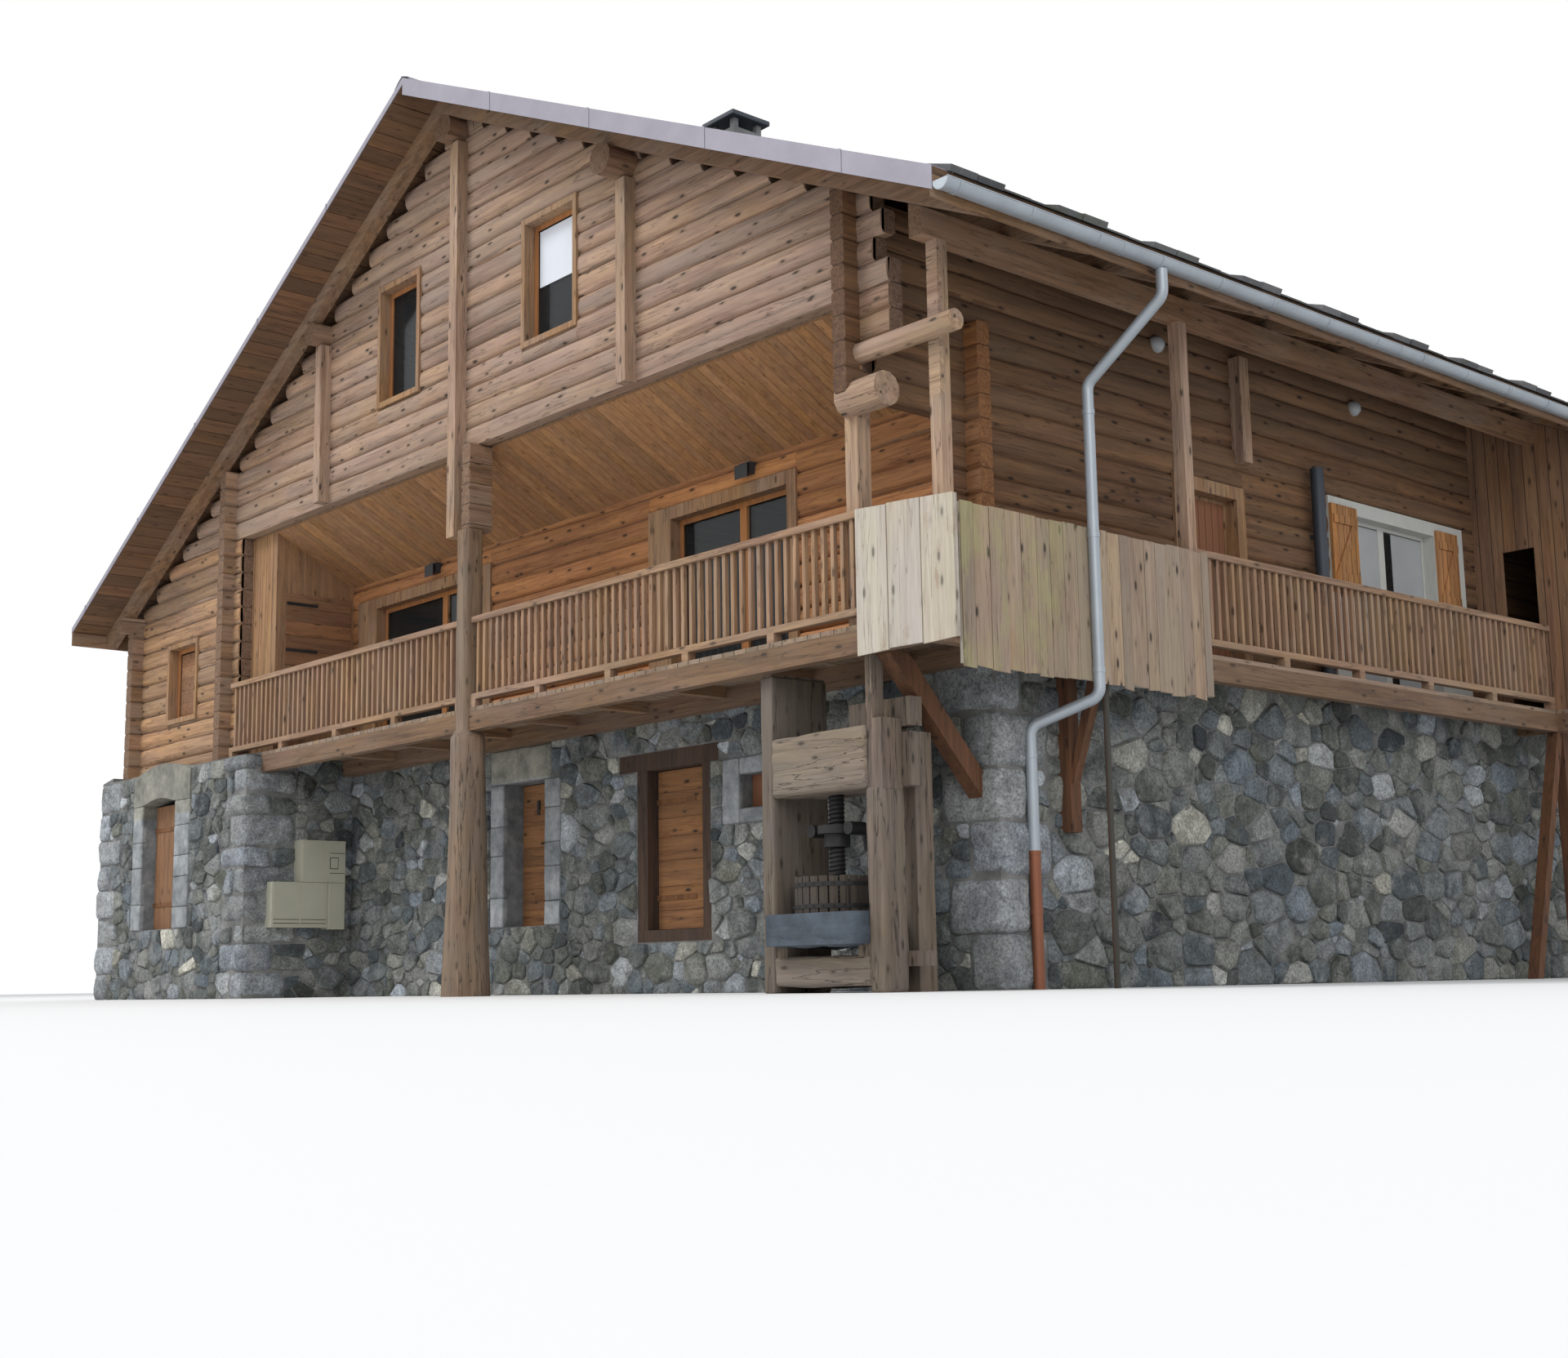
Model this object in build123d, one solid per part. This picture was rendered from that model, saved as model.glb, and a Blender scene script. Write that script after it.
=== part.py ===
from build123d import *
import math
import os

# Alpine chalet: a stone cellar storey, log walls above it and a log gable that juts over a front balcony,
# with a side gallery under the right eave and an old fruit press below the gallery's corner.
# Millimetres. X runs along the gable front, Y from the gable wall to the back, Z up from the ground.
# While the pieces are drawn, X is measured from the ridge line and Y from the gable wall's outer face.
# At the end every piece is moved so that the origin is the middle of the roof's plan, at ground level.

# Plan: outer faces of the log walls, and of the stone walls below them
LOG_WALL = 160
LOG_WEST = -8260
LOG_EAST = 6300
BAY_INNER = -5330               # right face of the log wall beside the bay
RECESS = 1250                   # set-back of the log wall behind the balcony
HOUSE_BACK = 13200
STONE_WALL = 600
STONE_PAST = 350                # how far the stone walls stand out past the logs
STONE_WEST = LOG_WEST - STONE_PAST
STONE_EAST = LOG_EAST + STONE_PAST
STONE_BACK = HOUSE_BACK + STONE_PAST
BAY_FRONT = -300
BAY_RETURN = -4240              # right face of the stone bay
CELLAR_FRONT = 1140             # set-back of the stone wall under the balcony
GALLERY_WIDTH = 850             # from the side wall's logs to the outer face of the edge beam
GALLERY_OUTER = LOG_EAST + GALLERY_WIDTH
GALLERY_END = 9850
CABIN_OUT = 600                 # how far the cabin stands out past the gallery
CABIN_OUTER = GALLERY_OUTER + CABIN_OUT

# Levels
CELLAR_FLOOR_TOP = 600
CELLAR_FLOOR = 120
STONE_TOP = 2920
DECK = 40
DECK_TOP = STONE_TOP + DECK
BEAM_DEPTH = 200
BEAM_FOOT = STONE_TOP - BEAM_DEPTH
GABLE_BOTTOM = 5820
CEILING_BACK = 5200             # height of the sloping ceiling at the recessed wall
CEILING_BOARDS = 24
FLOOR_BOARDS = 160
FLOOR_BEAMS = 160

# Hewn logs
LOG_COURSES = 13                # from the stone's top to the gable's foot
COURSE = (GABLE_BOTTOM - STONE_TOP) / LOG_COURSES
LOG_ARRIS = 26
LOG_END = 170
SHORTEST_LOG = 230
GABLE_ENDS = (350, 180, 290, 160, 240)   # how far the gable's logs pass the gallery corner, course by course
STUB_COURSES = 2                # short logs under the gable's foot at that corner
STUB_END = 350
UPPER_EAST_BOTTOM = 4840        # from here up the gallery wall runs on to the gable
WEST_PLATE_OUT = 330            # the west wall's top log carries the verge rafter

# Roof
GABLE_RISE = 4070               # from the gable's foot to the ridge
RIDGE_TOP = GABLE_BOTTOM + GABLE_RISE
SLOPE_LEFT = 0.5448
SLOPE_RIGHT = 0.4686
ROOF_PLATE = 70
RAFTER_DEPTH = 190
RAFTER_WIDTH = 150
RAFTER_COUNT = 12
EAVE_OUT_LEFT = 540             # from the logs to the left eave
EAVE_OUT_RIGHT = 750            # from the gallery to the right eave
EAVE_LEFT = LOG_WEST - EAVE_OUT_LEFT
EAVE_RIGHT = GALLERY_OUTER + EAVE_OUT_RIGHT
VERGE = 750
VERGE_RAFTER_OUT = 200
PURLIN_SIDES = 12
PURLINS = ((-2980, 280, 40, 250), (0, 330, 5, 250), (3080, 330, 5, 350))   # x, thickness, flat, run past the wall
PURLIN_CLAMPS = ((-2955, 5830), (75, 4840), (3125, 5800))                 # x and foot of each upright
CLAMP_WIDTH = 150
CLAMP_DEPTH = 140
FLASHING = 6
FLASHING_WIDTH = 240
FLASHING_DROP_LEFT = 70
FLASHING_DROP_RIGHT = 190
FASCIA = 30
FASCIA_DEPTH = 170
EAVE_BEAM = 150
EAVE_BEAM_DEPTH = 230
EAVE_BEAM_FRONT = -100

# Gutter and downpipe
GUTTER_RADIUS = 80
GUTTER_SKIN = 6
GUTTER_DROP = 60
PIPE_RADIUS = 50
PIPE_BEND = 120
PIPE_GAP = 60                   # from a wall or boarding to the pipe's middle
PIPE_STEPS = (1920, 1790, 1500)           # Y at the gutter, at the gallery and at the wall
PIPE_HEIGHTS = (230, 5130, 2420, 2200)    # first drop below the gutter, then the heights of the bends

# Chimney
CHIMNEY = 420
CHIMNEY_X = 1080
CHIMNEY_Y = 3080
CHIMNEY_TOP = 9950
CHIMNEY_WALL = 70
CHIMNEY_FOOT = 700              # below the roof plate
CAP_OVER = 70
CAP_PLATE = 40
CAP_GAP = 110

# Balcony and side gallery
CABIN_DOOR = (LOG_EAST + 350, LOG_EAST + 740, DECK_TOP, 4850)
CLOSET_X = -4500
EDGE_BEAM = 120
LEDGER = 160
JOIST = 110
JOIST_PITCH = 1250
RAIL_LINE = -60                 # middle of the balcony's rail
RAIL_HEIGHT = 960
RAIL_SECTION = 60
RAIL_WIDTH = 90
RAIL_BLOCK = 90
BOTTOM_RAIL_GAP = 85
BALUSTER = 42
BALUSTER_PITCH = 118
BOARDING = 30
PANEL_ENDS = (LOG_EAST + 50, GALLERY_OUTER + 310)
END_PANEL = ((PANEL_ENDS[0], 2720), (PANEL_ENDS[1], 2700), (PANEL_ENDS[1], 3830), (PANEL_ENDS[0], 3910))
PARAPET = (200, 3450, 2560, 3870)         # start, end, bottom, top of the boarding beside the gallery

# Posts
MAIN_POST_X = 350
MAIN_POST_FOOT = 252
MAIN_POST_MIDDLE = 212
MAIN_POST_NECK = 178
MAIN_POST_FLARE_TOP = 900
MAIN_POST_SQUARE = 210
MAIN_POST_STEP = 2700
MAIN_POST_TOP = 4870
CORNER_POST = 150
CORNER_POST_X = LOG_EAST - 120
GALLERY_POST = 120
GALLERY_POST_Y = (120, 3300)
CAP_LOG = (300, -20, 4900, LOG_EAST - LOG_WALL, LOG_EAST + 320)   # thickness, y, z, left end, right end
TIE_LOG = (180, 0, 5280, LOG_EAST, GALLERY_OUTER + 250)
SIDE_CLAMP = (5190, 5340, 5200, 310)      # upright on the gallery wall: y from, y to, foot, space above it

# Ground-floor doors: (left, right, bottom, top) of the hole, and how far the leaf sits behind the wall's face
BAY_DOOR = (-7210, -6220, 890, 2520)
BAY_LEAF_BACK = 180
BAY_JAMBS = (290, 440)
BAY_LINTEL_RISE = 70
DOOR_A = (-790, 20, 740, 2330)
DOOR_A_LEAF_BACK = 250
DOOR_A_JAMBS = (260, 290)
DOOR_A_LINTEL = 390
DOOR_A_LINTEL_PAST = 120
DOOR_B = (1830, 2720, 630, 2250)
DOOR_B_LEAF_BACK = 150
DOOR_B_POSTS = (160, 140)
DOOR_B_POST_DEPTH = 230
DOOR_B_POST_BACK = 10
DOOR_B_LINTEL = (1370, 2990, 180)         # left end, right end, thickness
DOOR_B_SILL = 120
LEAF = 45
LEAF_GAP = 8
LEDGE = 30
LEDGE_WIDTH = 120
LEDGE_INSET = 60
HINGE_LOW = 0.2                 # heights of the hinges, as shares of the door
HINGE_HIGH = 0.8
HINGE_IN = 8
HINGE_OUT = 16
KNUCKLE = 11
PIN = 6
RUNNING = 0.05                  # clearance between pin and knuckle
STRAP = 50
STRAP_REACH = 0.7
HOOK = 20
HOOK_HALF = 8
HOOK_ROOT = 60
HOOK_TIP = 6

# Windows and window doors: (left, right, bottom, top) of the hole in the wall
CELLAR_WINDOW = (3310, 3860, 1750, 2080)
CELLAR_WINDOW_STONE = (250, 240, 140, 160)
CELLAR_BOARD_BACK = 160
BAY_WINDOW = (-7210, -6370, 3660, 4660)
GABLE_WINDOW_LEFT = (-1690, -840, 6740, 8110)
GABLE_WINDOW_RIGHT = (1290, 2200, 6680, 8000)
SLIDER_LEFT = (-3890, -1380, DECK_TOP, 4860)
SLIDER_RIGHT = (2130, 3990, DECK_TOP, 4860)
SIDE_DOOR = (4270, 5200, DECK_TOP, 4840)
WHITE_WINDOW = (7300, 8950, DECK_TOP, 5000)
WEST_WINDOWS = ((3300, 4140, 3660, 4660), (8400, 9240, 3660, 4660))
BACK_WINDOWS = ((-4000, -3160, 3660, 4660), (1500, 2340, 3660, 4660), (-425, 425, 6740, 8000))
# Widths of the boards round a hole: (left, right, bottom, top)
NARROW_CASING = (40, 40, 40, 40)
SLIDER_LEFT_CASING = (440, 140, 0, 110)
SLIDER_RIGHT_CASING = (350, 110, 0, 110)
SIDE_CASING = (110, 110, 0, 110)
WHITE_CASING = (480, 600, 0, 130)
# Where the upright bars of the wide windows stand
SLIDER_LEFT_BARS = (-2440,)
SLIDER_RIGHT_BARS = (3170,)
WHITE_BARS = (8050,)
CASING_OUT = 35
LINING = 24
SASH = 60
SASH_DEPTH = 50
SASH_DEEP = 110                 # how far a sash sits behind the wall's face
PANE = 20
SHUTTER = 35
SHUTTER_FOOT = 4080
SHUTTER_TOP = 5040
SHUTTER_SPANS = ((6820, 7310), (8940, 9380))

# Fixed equipment
LAMPS = ((-2450, 5110), (3410, 5100))
LAMP = (160, 90, 120)           # width, depth, height
METER_BOXES = ((-20, 715, 840, 1385), (720, 950, 820, 1385), (350, 950, 1390, 1900))   # y0, y1, z0, z1
METER_BOX_DEPTH = 180
STOVEPIPE_Y = 6490
STOVEPIPE_TOP = 5340
STOVEPIPE_RADIUS = 70
STOVEPIPE_SKIN = 4
STOVEPIPE_GAP = 130             # from the wall to the pipe's middle
PIPE_BRACKET = (30, 40, 4600)   # width, height, level

# Braces and props under the gallery
FRONT_BRACE_X = (LOG_EAST + 50, LOG_EAST + 200)
FRONT_BRACE = ((60, BEAM_FOOT), (300, BEAM_FOOT), (CELLAR_FRONT, 1800), (CELLAR_FRONT, 1560))
WALL_POST = (1910, 2045, 1320)            # y from, y to, foot
WALL_POST_OUT = 130
WALL_BRACE = (1700, 1860, 130)            # foot, head at the wall post, thickness along the beam
WALL_BRACE_WIDTH = 90
POLE_RADIUS = 27
POLE_Y = 1930
PROP_LEAN = 850
PROP_FOOT = 120

# Fruit press
PRESS_SLAB = (4980, 5110, 0, 610)         # left upright: one broad plank on edge
PRESS_POST = (6265, 6440)                 # right uprights, left and right faces
PRESS_FRONT_POST = (0, 230)               # front and back faces
PRESS_REAR_POST = (370, 570, 2110)         # front, back, top
PRESS_NECK_TOP = (6265, 6340, 0, 130, 2200)
PRESS_HEAD = (0, 500, 1650, 2140)
PRESS_HEAD_TAIL = (6540, 2090)
PRESS_KEY = (5820, 6540, 2380)
PRESS_SILL = (0, 500, 60, 290)
PRESS_SILL_TAIL = 6640
PRESS_CORBEL = 145
TROUGH_FOOT = 390
TROUGH_TOP = 650
TROUGH_Y = (-165, 675)
TROUGH_CORNER = 90
TROUGH_GAP = 5
DISH = 40
DISH_EDGE = 15
PRESS_AXIS = (5620, 255)
BASKET_RADIUS = 370
BASKET_SKIN = 28
BASKET_TOP = 965
BASKET_RIM = 65
SLATS = 24
SLAT_GAP = 16
SCREW_RADIUS = 62
NUT = (165, 70, 1350)           # radius, thickness, level
COLLAR = (110, 110)
SOCKET = (55, 180, 230)         # radius, length, distance from the screw's middle

# The point of the working frame that becomes the origin
CENTRE_X = (EAVE_LEFT + EAVE_RIGHT) / 2 + GUTTER_RADIUS
CENTRE_Y = HOUSE_BACK / 2


# Shapes used by many pieces

def box(x0, x1, y0, y1, z0, z1):
    """An upright block between two corners."""
    return Pos((x0 + x1) / 2, (y0 + y1) / 2, (z0 + z1) / 2) * Box(x1 - x0, y1 - y0, z1 - z0)


def along_y(points, y0, y1):
    """A prism from an outline of (x, z) points, run from y0 to y1."""
    face = make_face(Polyline([(x, y0, z) for x, z in points], close=True))
    return extrude(face, amount=y1 - y0, dir=(0, 1, 0))


def along_x(points, x0, x1):
    """A prism from an outline of (y, z) points, run from x0 to x1."""
    face = make_face(Polyline([(x0, y, z) for y, z in points], close=True))
    return extrude(face, amount=x1 - x0, dir=(1, 0, 0))


def fuse(pieces):
    """One shape from a list of pieces."""
    return pieces[0] if len(pieces) == 1 else pieces[0].fuse(*pieces[1:])


def rod(x, y, radius, z0, z1):
    """An upright cylinder."""
    return Pos(x, y, (z0 + z1) / 2) * Cylinder(radius, z1 - z0)


def round_outline(a, z, thickness):
    """Outline of a round log, as a many-sided ring with a flat on top."""
    turn, r = math.tau / PURLIN_SIDES, thickness / 2
    return [(a + r * math.cos((i + 0.5) * turn), z + r * math.sin((i + 0.5) * turn)) for i in range(PURLIN_SIDES)]


def opening(hole, y0, y1):
    """What a hole takes out of a wall between y0 and y1."""
    return box(hole[0], hole[1], y0, y1, hole[2], hole[3])


# Roof lines

def roof_top(x):
    """Height of the roof's upper face."""
    return RIDGE_TOP - (SLOPE_RIGHT * x if x > 0 else -SLOPE_LEFT * x)


def roof_under(x):
    """Height of the roof plate's underside, which is the rafters' top."""
    return roof_top(x) - ROOF_PLATE


def rafter_under(x):
    """Height of the rafters' underside."""
    return roof_under(x) - RAFTER_DEPTH


def below_rafters(y0, y1):
    """The space under the rafters, used to cut what the roof covers."""
    return along_y([(EAVE_LEFT, 0), (EAVE_RIGHT, 0), (EAVE_RIGHT, rafter_under(EAVE_RIGHT)),
                    (0, rafter_under(0)), (EAVE_LEFT, rafter_under(EAVE_LEFT))], y0, y1)


def roof_reach(z):
    """From where to where a gable log can run when its top is at z."""
    drop = RIDGE_TOP - ROOF_PLATE - z
    return -drop / SLOPE_LEFT + LOG_ARRIS, drop / SLOPE_RIGHT - LOG_ARRIS


# Log building

def log_outline(near, z, height=COURSE):
    """Section of one hewn log: near is its outer face, and the four arrises are taken off."""
    far, a = near + LOG_WALL, LOG_ARRIS
    return [(near + a, z), (far - a, z), (far, z + a), (far, z + height - a),
            (far - a, z + height), (near + a, z + height), (near, z + height - a), (near, z + a)]


def log_row(axis, near, z, start, end, height=COURSE):
    """One log: axis says which way it runs, near is its lower face across the wall."""
    run = along_x if axis == "x" else along_y
    return run(log_outline(near, z, height), start, end)


def log_wall(axis, near, bottom, top, start, end, reach=None, ends=(0,)):
    """A wall of stacked logs. reach(z) may shorten a log under the roof, ends lengthen single logs."""
    logs, z = [], bottom
    rows = max(1, round((top - bottom) / COURSE))
    for row in range(rows):
        height = COURSE if row < rows - 1 else top - z
        low, high = reach(z + height) if reach else (start, end + max(ends))
        low, high = max(low, start), min(high, end + ends[row % len(ends)])
        if high - low > SHORTEST_LOG:
            logs.append(log_row(axis, near, z, low, high, height))
        z += height
    return fuse(logs)


def notches(x, y, owner):
    """Bands of a corner crossing, half a course each, that the wall with the other owner number keeps."""
    half = COURSE / 2
    count = math.ceil((RIDGE_TOP - STONE_TOP) / half)
    bands = [box(x, x + LOG_WALL, y, y + LOG_WALL, STONE_TOP + i * half, STONE_TOP + (i + 1) * half)
             for i in range(owner, count, 2)]
    return Compound(bands)


# Stone storey

def bay_walls():
    """Masonry left and right of the bay door, up to the cut stone."""
    left, right = BAY_DOOR[0] - BAY_JAMBS[0], BAY_DOOR[1] + BAY_JAMBS[1]
    back = BAY_FRONT + STONE_WALL
    return [box(STONE_WEST + STONE_WALL, left, BAY_FRONT, back, 0, STONE_TOP),
            box(right, BAY_RETURN - STONE_WALL, BAY_FRONT, back, 0, STONE_TOP)]


def cellar_span():
    """Front and back of the recessed stone wall, and the frames' edges at its two doors."""
    y0, y1 = CELLAR_FRONT, CELLAR_FRONT + STONE_WALL
    a0, a1 = DOOR_A[0] - DOOR_A_JAMBS[0], DOOR_A[1] + DOOR_A_JAMBS[1]
    b0, b1 = DOOR_B[0] - DOOR_B_POSTS[0], DOOR_B[1] + DOOR_B_POSTS[1]
    return y0, y1, a0, a1, b0, b1


def door_b_lintel():
    """Head beam of the right cellar door, which bears on the masonry at both ends."""
    left, right, thick = DOOR_B_LINTEL
    return box(left, right, CELLAR_FRONT, CELLAR_FRONT + STONE_WALL, DOOR_B[3], DOOR_B[3] + thick)


def cellar_walls():
    """The recessed stone wall in three stretches, beside its two doors."""
    y0, y1, a0, a1, b0, b1 = cellar_span()
    left, right, low, high = CELLAR_WINDOW_STONE
    w = CELLAR_WINDOW
    east = box(b1, STONE_EAST - STONE_WALL, y0, y1, 0, STONE_TOP)
    east -= box(w[0] - left, w[1] + right, y0, y1, w[2] - low, w[3] + high)
    middle = box(a1, b0, y0, y1, 0, STONE_TOP)
    return [box(BAY_RETURN, a0, y0, y1, 0, STONE_TOP), middle - door_b_lintel(), east - door_b_lintel()]


def walls_at_doors():
    """Masonry over and under the three doorways."""
    y0, y1, a0, a1, b0, b1 = cellar_span()
    over_a = DOOR_A[3] + DOOR_A_LINTEL
    past_a = DOOR_A[1] + DOOR_A_LINTEL_PAST
    bay0, bay1 = BAY_DOOR[0] - BAY_JAMBS[0], BAY_DOOR[1] + BAY_JAMBS[1]
    return [box(a0, a1, y0, y1, over_a, STONE_TOP) + box(past_a, a1, y0, y1, DOOR_A[3], over_a),
            box(a0, a1, y0, y1, 0, DOOR_A[2]),
            box(b0, b1, y0, y1, DOOR_B[3] + DOOR_B_LINTEL[2], STONE_TOP),
            box(b0, b1, y0, y1, 0, DOOR_B[2] - DOOR_B_SILL),
            box(bay0, bay1, BAY_FRONT, BAY_FRONT + STONE_WALL, 0, BAY_DOOR[2])]


def side_walls():
    """Both long side walls and the short return of the bay."""
    return [box(STONE_WEST, STONE_WEST + STONE_WALL, BAY_FRONT, STONE_BACK, 0, STONE_TOP),
            box(STONE_EAST - STONE_WALL, STONE_EAST, CELLAR_FRONT, STONE_BACK, 0, STONE_TOP),
            box(BAY_RETURN - STONE_WALL, BAY_RETURN, BAY_FRONT, CELLAR_FRONT + STONE_WALL, 0, STONE_TOP)]


def back_wall():
    """The back wall of the stone storey."""
    return [box(STONE_WEST + STONE_WALL, STONE_EAST - STONE_WALL, STONE_BACK - STONE_WALL, STONE_BACK,
                0, STONE_TOP)]


def dressed_jambs():
    """Cut stone at both sides of the bay door and of the left cellar door."""
    jambs = []
    for door, widths, front, back, side in ((BAY_DOOR, BAY_JAMBS, BAY_FRONT, BAY_LEAF_BACK, "left"),
                                            (DOOR_A, DOOR_A_JAMBS, CELLAR_FRONT, DOOR_A_LEAF_BACK, "right")):
        left = box(door[0] - widths[0], door[0], front, front + STONE_WALL, door[2], door[3])
        right = box(door[1], door[1] + widths[1], front, front + STONE_WALL, door[2], door[3])
        hooks = pintles(door, front + back, side)
        if side == "left":
            jambs += [fuse([left] + hooks), right]
        else:
            jambs += [left, fuse([right] + hooks)]
    return jambs


def bay_lintel():
    """The bay door's lintel, cut to a shallow arch below."""
    x0, x1 = BAY_DOOR[0] - BAY_JAMBS[0], BAY_DOOR[1] + BAY_JAMBS[1]
    y, foot = BAY_FRONT, BAY_DOOR[3]
    middle = (BAY_DOOR[0] + BAY_DOOR[1]) / 2
    edge = Polyline([(x1, y, foot), (x1, y, STONE_TOP), (x0, y, STONE_TOP), (x0, y, foot), (BAY_DOOR[0], y, foot)])
    arch = ThreePointArc((BAY_DOOR[0], y, foot), (middle, y, foot + BAY_LINTEL_RISE), (BAY_DOOR[1], y, foot))
    rest = Line((BAY_DOOR[1], y, foot), (x1, y, foot))
    return extrude(make_face([edge, arch, rest]), amount=STONE_WALL, dir=(0, 1, 0))


def dressed_lintels():
    """Both stone lintels, and the cut stone round the cellar window."""
    y0, y1 = CELLAR_FRONT, CELLAR_FRONT + STONE_WALL
    a = box(DOOR_A[0] - DOOR_A_JAMBS[0], DOOR_A[1] + DOOR_A_LINTEL_PAST, y0, y1, DOOR_A[3], DOOR_A[3] + DOOR_A_LINTEL)
    left, right, low, high = CELLAR_WINDOW_STONE
    w = CELLAR_WINDOW
    frame = box(w[0] - left, w[1] + right, y0, y1, w[2] - low, w[3] + high)
    return [bay_lintel(), a, frame - opening(w, y0, y1)]


def cellar_door_frame():
    """Posts, head beam and sill of the right cellar door, with its hinge hooks."""
    y0, y1, a0, a1, b0, b1 = cellar_span()
    post_front = y0 + DOOR_B_POST_BACK
    left = box(b0, DOOR_B[0], post_front, y0 + DOOR_B_POST_DEPTH, DOOR_B[2], DOOR_B[3])
    right = box(DOOR_B[1], b1, post_front, y0 + DOOR_B_POST_DEPTH, DOOR_B[2], DOOR_B[3])
    sill = box(b0, b1, y0, y1, DOOR_B[2] - DOOR_B_SILL, DOOR_B[2])
    return [fuse([left, right, sill, door_b_lintel()] + pintles(DOOR_B, y0 + DOOR_B_LEAF_BACK, "left"))]


# Doors that turn

def hinge_line(door, leaf_front, side):
    """Where a leaf turns: x, y and the heights of its two hinges."""
    y = leaf_front - HINGE_OUT
    x = door[0] + LEAF_GAP + HINGE_IN if side == "left" else door[1] - LEAF_GAP - HINGE_IN
    rise = door[3] - door[2]
    return x, y, (door[2] + HINGE_LOW * rise, door[2] + HINGE_HIGH * rise)


def pintles(door, leaf_front, side):
    """Hooks that stand out of the jamb and carry the leaf's straps."""
    x, y, heights = hinge_line(door, leaf_front, side)
    root = door[0] - HOOK_ROOT if side == "left" else door[1] + HOOK_ROOT
    tip = x + HOOK_TIP if side == "left" else x - HOOK_TIP
    hooks = []
    for z in heights:
        low = z - STRAP / 2 - HOOK
        hooks.append(box(min(root, tip), max(root, tip), y - HOOK_HALF, y + HOOK_HALF, low, low + HOOK))
        hooks.append(rod(x, y, PIN, low, low + HOOK + STRAP))
    return hooks


def door_leaf(door, leaf_front, side):
    """A leaf of boards, with two ledges on its inner side and two strap hinges on its face."""
    x0, x1 = door[0] + LEAF_GAP, door[1] - LEAF_GAP
    z0, z1 = door[2] + LEAF_GAP, door[3] - LEAF_GAP
    inner = leaf_front + LEAF
    leaf = box(x0, x1, leaf_front, inner, z0, z1)
    x, y, heights = hinge_line(door, leaf_front, side)
    reach = STRAP_REACH * (x1 - x0) if side == "left" else -STRAP_REACH * (x1 - x0)
    for z in heights:
        ledge = LEDGE_WIDTH / 2
        leaf += box(x0 + LEDGE_INSET, x1 - LEDGE_INSET, inner, inner + LEDGE, z - ledge, z + ledge)
        leaf += box(min(x, x + reach), max(x, x + reach), y, leaf_front, z - STRAP / 2, z + STRAP / 2)
        leaf += rod(x, y, KNUCKLE, z - STRAP / 2, z + STRAP / 2)
        leaf -= rod(x, y, PIN + RUNNING, z - STRAP / 2, z + STRAP / 2)
    return [leaf]


def bay_door():
    return door_leaf(BAY_DOOR, BAY_FRONT + BAY_LEAF_BACK, "left")


def cellar_door_a():
    return door_leaf(DOOR_A, CELLAR_FRONT + DOOR_A_LEAF_BACK, "right")


def cellar_door_b():
    return door_leaf(DOOR_B, CELLAR_FRONT + DOOR_B_LEAF_BACK, "left")


# Floors and ceiling

def inside_stone(z0, z1):
    """A slab that fills the stone storey's plan, with the bay."""
    x0, x1 = STONE_WEST + STONE_WALL, STONE_EAST - STONE_WALL
    y0, y1 = CELLAR_FRONT + STONE_WALL, STONE_BACK - STONE_WALL
    slab = box(x0, x1, y0, y1, z0, z1)
    return slab + box(x0, BAY_RETURN - STONE_WALL, BAY_FRONT + STONE_WALL, y0, z0, z1)


def floors():
    """Cellar slab, first floor on its beams, and attic floor under the gable."""
    cellar = inside_stone(CELLAR_FLOOR_TOP - CELLAR_FLOOR, CELLAR_FLOOR_TOP)
    w = LOG_WALL
    first = box(LOG_WEST + w, LOG_EAST - w, RECESS + w, HOUSE_BACK - w, STONE_TOP, DECK_TOP)
    first += box(LOG_WEST + w, BAY_INNER - w, w, RECESS + w, STONE_TOP, DECK_TOP)
    first += inside_stone(STONE_TOP - FLOOR_BEAMS, STONE_TOP)
    attic = box(BAY_INNER, LOG_EAST - w, w, HOUSE_BACK - w, GABLE_BOTTOM, GABLE_BOTTOM + FLOOR_BOARDS)
    return [cellar, first, attic]


def ceiling_under(y):
    """Height of the sloping ceiling's underside."""
    share = (y - LOG_WALL) / (RECESS - LOG_WALL)
    return (GABLE_BOTTOM - CEILING_BOARDS) * (1 - share) + CEILING_BACK * share


def ceiling():
    """Sloping boards under the jutting gable."""
    t, front, back = CEILING_BOARDS, ceiling_under(LOG_WALL), ceiling_under(RECESS)
    return [along_x([(LOG_WALL, front), (RECESS, back), (RECESS, back + t), (LOG_WALL, front + t)],
                    BAY_INNER, LOG_EAST - LOG_WALL)]


# Log walls

def gable_logs():
    """The gable wall with the bay's front below it, its windows and its log ends."""
    west = LOG_WEST - LOG_END
    wall = log_wall("x", 0, GABLE_BOTTOM, RIDGE_TOP, west, LOG_EAST, roof_reach, GABLE_ENDS)
    bay = log_wall("x", 0, STONE_TOP, GABLE_BOTTOM, west, BAY_INNER + LOG_END, roof_reach)
    stub_foot = GABLE_BOTTOM - STUB_COURSES * COURSE
    stubs = log_wall("x", 0, stub_foot, GABLE_BOTTOM, LOG_EAST - LOG_WALL, LOG_EAST + STUB_END)
    wall = wall.fuse(bay, stubs)
    for window in (BAY_WINDOW, GABLE_WINDOW_LEFT, GABLE_WINDOW_RIGHT):
        wall -= opening(window, 0, LOG_WALL)
    for x in (LOG_WEST, BAY_INNER - LOG_WALL, LOG_EAST - LOG_WALL):
        wall -= notches(x, 0, 1)
    return [wall - Compound(purlin_logs())]


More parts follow.
